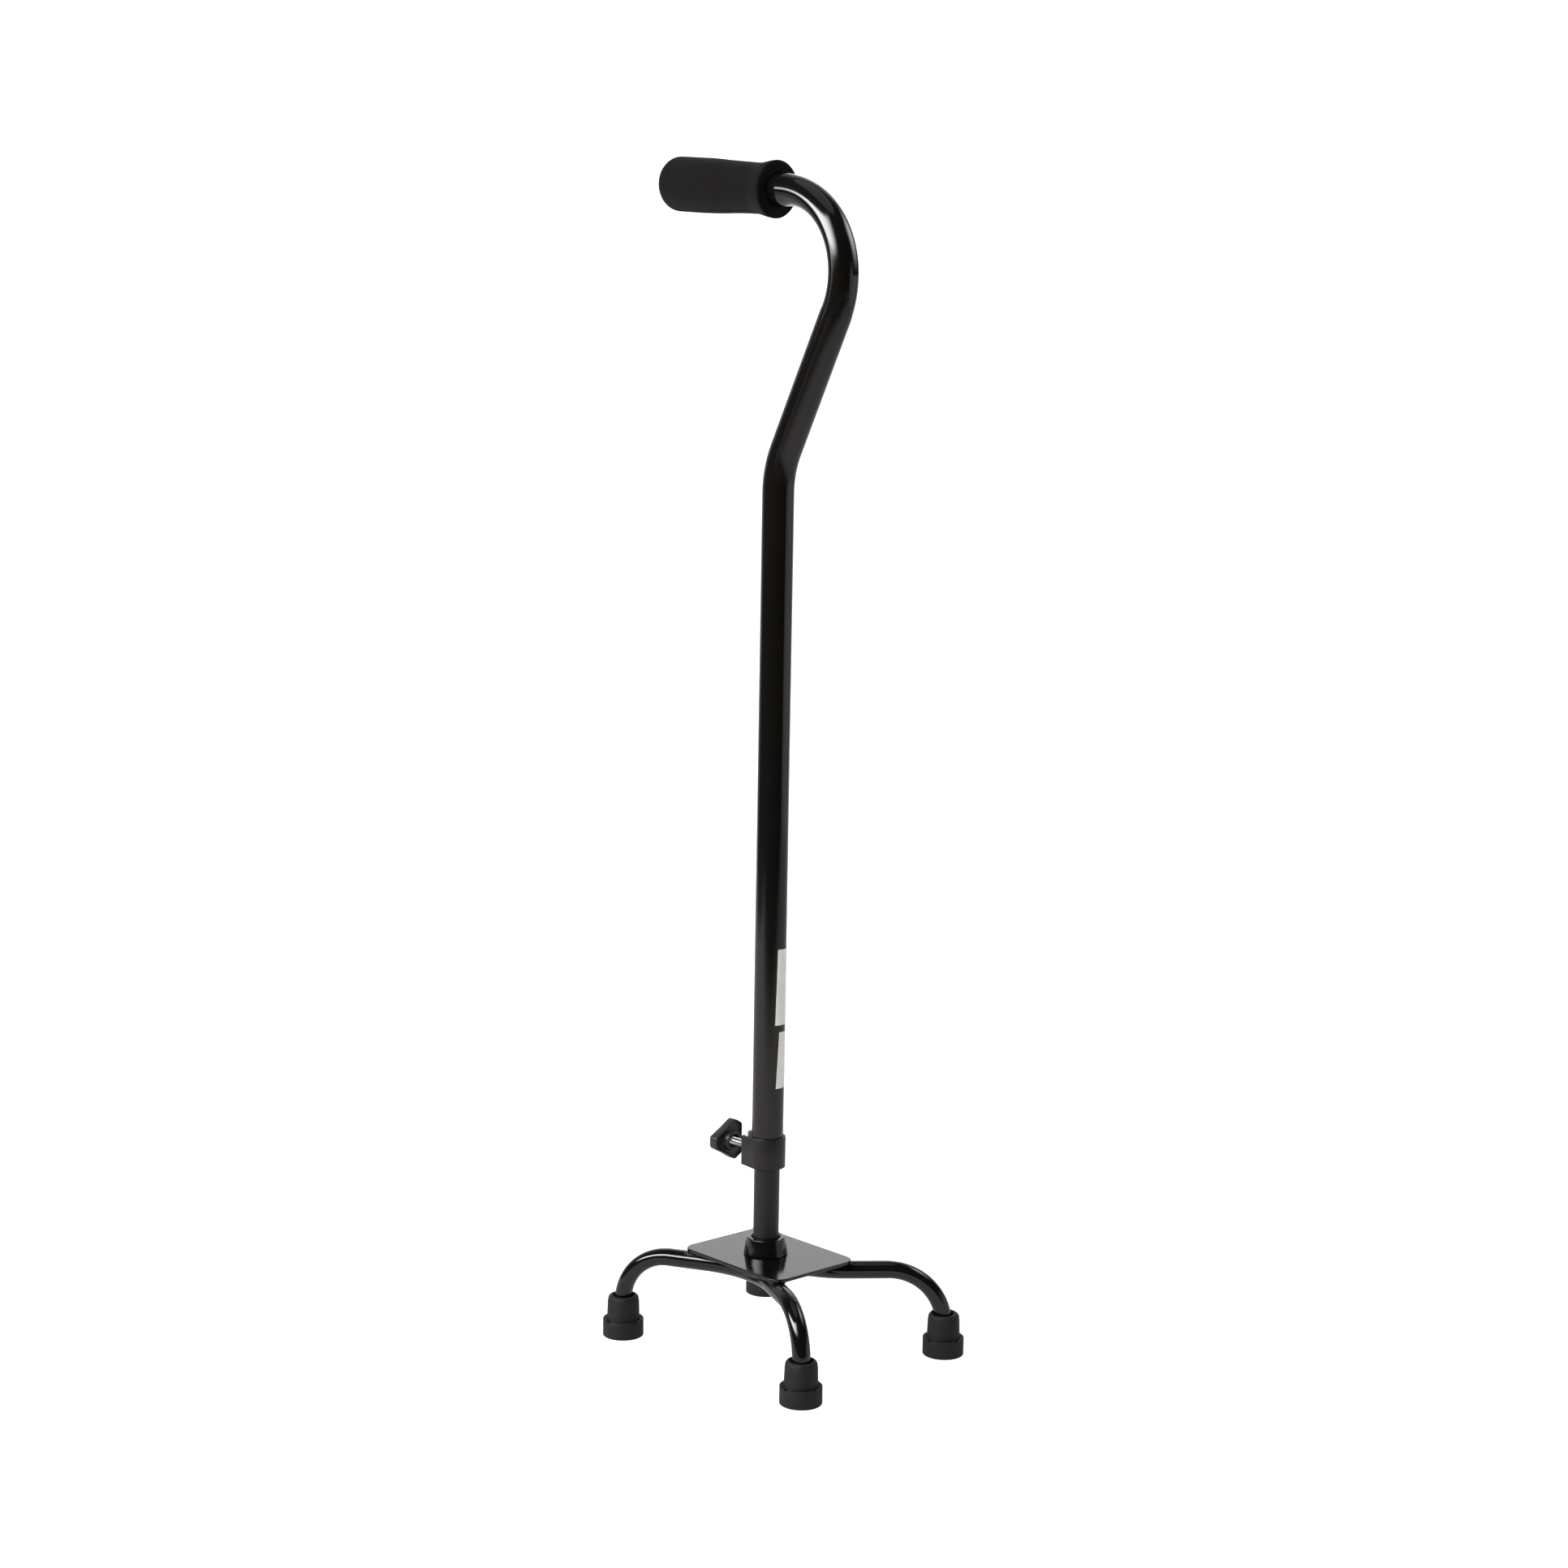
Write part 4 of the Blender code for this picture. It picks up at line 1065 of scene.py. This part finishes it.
def build_label(name, bottom, top, bottom_start, top_start, span):
    """A blank paper sticker wrapped round the tube; its side edges lean a little."""
    rows, columns = 40, 48
    bm = bmesh.new()
    grids = []
    for radius in (UPPER_RADIUS + 0.00002, UPPER_RADIUS + 0.00014):
        grid = []
        for row in range(rows + 1):
            foot = Vector((AXIS_X, AXIS_Y, mix(bottom, top, row / rows)))
            start = math.radians(mix(bottom_start, top_start, row / rows))
            turns = [start + math.radians(span) * column / columns for column in range(columns + 1)]
            grid.append([bm.verts.new(foot + Vector((*polar(radius, turn), 0))) for turn in turns])
        grids.append(grid)
    for grid in grids:
        for near, far in zip(grid, grid[1:]):
            for column in range(columns):
                bm.faces.new((near[column], near[column + 1], far[column + 1], far[column]))
    low, high = grids
    rim = [(0, column) for column in range(columns)] + [(row, columns) for row in range(rows)]
    rim += [(rows, column) for column in range(columns, 0, -1)] + [(row, 0) for row in range(rows, 0, -1)]
    for (row, column), (next_row, next_column) in zip(rim, rim[1:] + rim[:1]):
        inside = (low[row][column], low[next_row][next_column])
        bm.faces.new((*inside, high[next_row][next_column], high[row][column]))
    piece(name, bm, "upper", PAPER)


build_upper_tube()
build_grip()
build_handle_plug()
build_collar()
build_bushing()
build_screw()
build_knob()
build_pad()
build_lower_tube()
build_glide()
build_button()
build_spring()
for leg_side in SIDES:
    build_leg(leg_side)
for tip_end in ("rear", "front"):
    for tip_side in ("right", "left"):
        build_tip(tip_end, tip_side)
build_plate()
build_hub()
build_bolt()
build_washers()
build_welds()
build_label("blank_label_upper", 0.2392, 0.2932, -22.8, -16.0, 118)
build_label("blank_label_lower", 0.1938, 0.2342, -16.5, -5.2, 108)

CARRIED = {"nut_plate": GRAINED, "lock_washer": ZINC, "shaft_plug": ZINC}
for tip_washer in [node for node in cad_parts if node.startswith("tip_washer_")]:
    CARRIED[tip_washer] = ZINC
for node_name, node_finish in CARRIED.items():
    for node_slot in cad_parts[node_name].material_slots:
        node_slot.material = node_finish


# Floor, light and camera


# Directions in the studio, seen from the cane: azimuth 0 is towards the camera, 90 its right-hand side
CAMERA_AZIMUTH = -44.5
NECK_Z = 0.75


def studio(azimuth, distance, height=0.0):
    """A point of the studio by its azimuth from the shaft, its distance and its height."""
    around = polar(distance, math.radians(CAMERA_AZIMUTH + azimuth))
    return Vector((AXIS_X + around.x, AXIS_Y + around.y, height))


def floor_finish(cove_start, cove_end):
    """Pale matt floor: plain white to the camera; in reflections a lit patch round the cane that
    fades towards the camera, and a cove that is brightest straight behind."""
    look = Finish("studio_floor_finish")
    run = look.along(look.coordinates.outputs["Object"], (0, 1, 0))
    across = look.math("ABSOLUTE", look.along(look.coordinates.outputs["Object"], (1, 0, 0)))
    lit = look.ramp(run, -1.45, -0.70, 0.06, 1.0)
    cove = look.ramp(across, 0.5, 1.3, 0.72, 0.28)
    glow = look.math("MULTIPLY", look.ramp(run, cove_start, cove_end), cove)
    glow = look.math("ADD", glow, look.math("MULTIPLY", lit, 0.30))
    look.set(Base_Color=look.blend(lit, (0.02, 0.02, 0.02), (0.44, 0.42, 0.41)), Roughness=0.9)
    look.set(Specular_IOR_Level=0.0, Emission_Color=(1.0, 1.0, 1.0, 1.0))
    look.set(Emission_Strength=look.math("MAXIMUM", glow, look.seen_directly()))
    return look.material


def staged(name, mesh, place):
    """Adds a mesh that only sets the stage, its local +Y running away from the camera."""
    made = linked(name, mesh)
    made.matrix_world = place
    return made


def build_floor():
    """A plain pale floor that curves up behind the cane."""
    near, flat, curve, top = -1.45, 2.3, 0.9, 3.2
    left, right = -1.6, 2.4
    profile = [(near, 0.0), (flat, 0.0)]
    for step in range(1, 17):
        angle = math.pi / 2 * step / 16
        profile.append((flat + curve * math.sin(angle), curve - curve * math.cos(angle)))
    profile.append((flat + curve, top))
    bm = bmesh.new()
    rows = [[bm.verts.new((across, run, rise)) for across in (left, right)] for run, rise in profile]
    for low, high in zip(rows, rows[1:]):
        bm.faces.new((low[0], low[1], high[1], high[0]))
    mesh = mesh_from("studio_floor", bm)
    mesh.shade_smooth()
    mesh.materials.append(floor_finish(flat / 2, flat + curve / 2))
    turn = Matrix.Rotation(math.radians(CAMERA_AZIMUTH + 90), 4, "Z")
    staged("studio_floor", mesh, Matrix.Translation((AXIS_X, AXIS_Y, 0)) @ turn)


def softbox(name, reach, span, lower, upper, peak, fades):
    """A soft light band curved round the cane, brightest in its core and fading to its edges.

    Its span is in studio azimuths and its two edges are in degrees of rise seen from the neck's
    height, at either end of the span; fades are the soft shares at its left, right, low and high edge.
    """
    look = Finish(name + "_finish")
    place = look.node("SeparateXYZ")
    look.links.new(look.coordinates.outputs["UV"], place.inputs[0])
    glow = peak
    for output, (near, far) in ((place.outputs[0], fades[:2]), (place.outputs[1], fades[2:])):
        glow = look.math("MULTIPLY", look.ramp(output, 0.0, near), glow)
        glow = look.math("MULTIPLY", look.ramp(output, 1 - far, 1.0, 1.0, 0.0), glow)
    look.set(Base_Color=(0.0, 0.0, 0.0, 1.0), Specular_IOR_Level=0.0)
    look.set(Emission_Color=(1.0, 1.0, 1.0, 1.0), Emission_Strength=glow)
    columns, rows = 24, 8
    bm = bmesh.new()
    uv = bm.loops.layers.uv.new("panel")
    grid = []
    for column in range(columns + 1):
        share = column / columns
        ends = [NECK_Z + reach * math.tan(math.radians(mix(*edge, share))) for edge in (lower, upper)]
        line = [studio(mix(*span, share), reach, mix(*ends, row / rows)) for row in range(rows + 1)]
        grid.append([bm.verts.new(point) for point in line])
    for column in range(columns):
        for row in range(rows):
            steps = ((column, row), (column + 1, row), (column + 1, row + 1), (column, row + 1))
            face = bm.faces.new([grid[i][j] for i, j in steps])
            for loop, (i, j) in zip(face.loops, steps):
                loop[uv].uv = (i / columns, j / rows)
    mesh = mesh_from(name, bm)
    mesh.materials.append(look.material)
    made = staged(name, mesh, Matrix.Identity(4))
    made.visible_camera = False
    made.visible_shadow = False


def build_world():
    """White to the camera; to all else a dark room with a pale floor, right-hand wall and far side."""
    world = bpy.data.worlds.new("studio")
    world.use_nodes = True
    look = Graph(world.node_tree)
    ray = look.coordinates.outputs["Generated"]
    to_camera = look.along(ray, tuple(studio(0, 1.0) - studio(0, 0.0)))
    to_right = look.along(ray, tuple(studio(90, 1.0) - studio(0, 0.0)))
    rise = look.along(ray, (0, 0, 1))
    far_floor = look.math("MULTIPLY", look.ramp(rise, -0.24, -0.14, 1.0, 0.0),
                          look.ramp(to_camera, 0.2, 0.9, 0.45, 0.08))
    wall = look.math("MULTIPLY", look.ramp(to_right, 0.80, 0.97, 0.0, 0.7),
                     look.ramp(rise, 0.05, 0.35, 1.0, 0.0))
    behind = look.ramp(to_camera, -0.75, -0.35, 0.5, 0.03)
    room = look.math("MAXIMUM", far_floor, wall)
    strength = look.math("MAXIMUM", room, look.math("MAXIMUM", behind, look.seen_directly()))
    background = look.node("Background")
    look.links.new(strength, background.inputs["Strength"])
    background.inputs["Color"].default_value = (1.0, 1.0, 1.0, 1.0)
    out = look.node("OutputWorld")
    look.links.new(background.outputs[0], out.inputs["Surface"])
    bpy.context.scene.world = world


def build_light():
    """A big band on the left that widens towards the camera, a box on the right, a weak lamp above."""
    build_world()
    softbox("key_left", reach=2.4, span=(-98, -6), lower=(2.0, 16), upper=(12, 64), peak=19.0,
            fades=(0.18, 0.60, 0.22, 0.30))
    softbox("fill_right", reach=1.8, span=(82, 144), lower=(4, 4), upper=(46, 46), peak=4.8,
            fades=(0.50, 0.5, 0.50, 0.40))
    data = bpy.data.lights.new("overhead", "AREA")
    data.shape = "DISK"
    data.size = 1.6
    data.energy = 3.0
    linked("overhead", data).location = (AXIS_X, AXIS_Y, 2.4)


def build_camera():
    """Camera at the photograph's angle: a long lens, a little above the plate, slightly rolled."""
    place = Vector((AXIS_X + 1.2757, AXIS_Y - 1.2538, 0.6477))
    roll = math.radians(0.99)
    ahead = Vector((-0.7039, 0.6978, -0.1324)).normalized()
    level = ahead.cross(Vector((0, 0, 1))).normalized()
    upright = level.cross(ahead)
    right = level * math.cos(roll) + upright * math.sin(roll)
    up = right.cross(ahead)
    turn = Matrix((right, up, -ahead)).transposed().to_4x4()
    data = bpy.data.cameras.new("photo_camera")
    data.sensor_width = 36
    data.lens = 59.58
    data.shift_x = -0.00031
    data.clip_end = 30
    camera = linked("photo_camera", data)
    camera.matrix_world = Matrix.Translation(place) @ turn
    bpy.context.scene.camera = camera


build_floor()
build_light()
build_camera()
bpy.context.scene.view_settings.view_transform = "Standard"
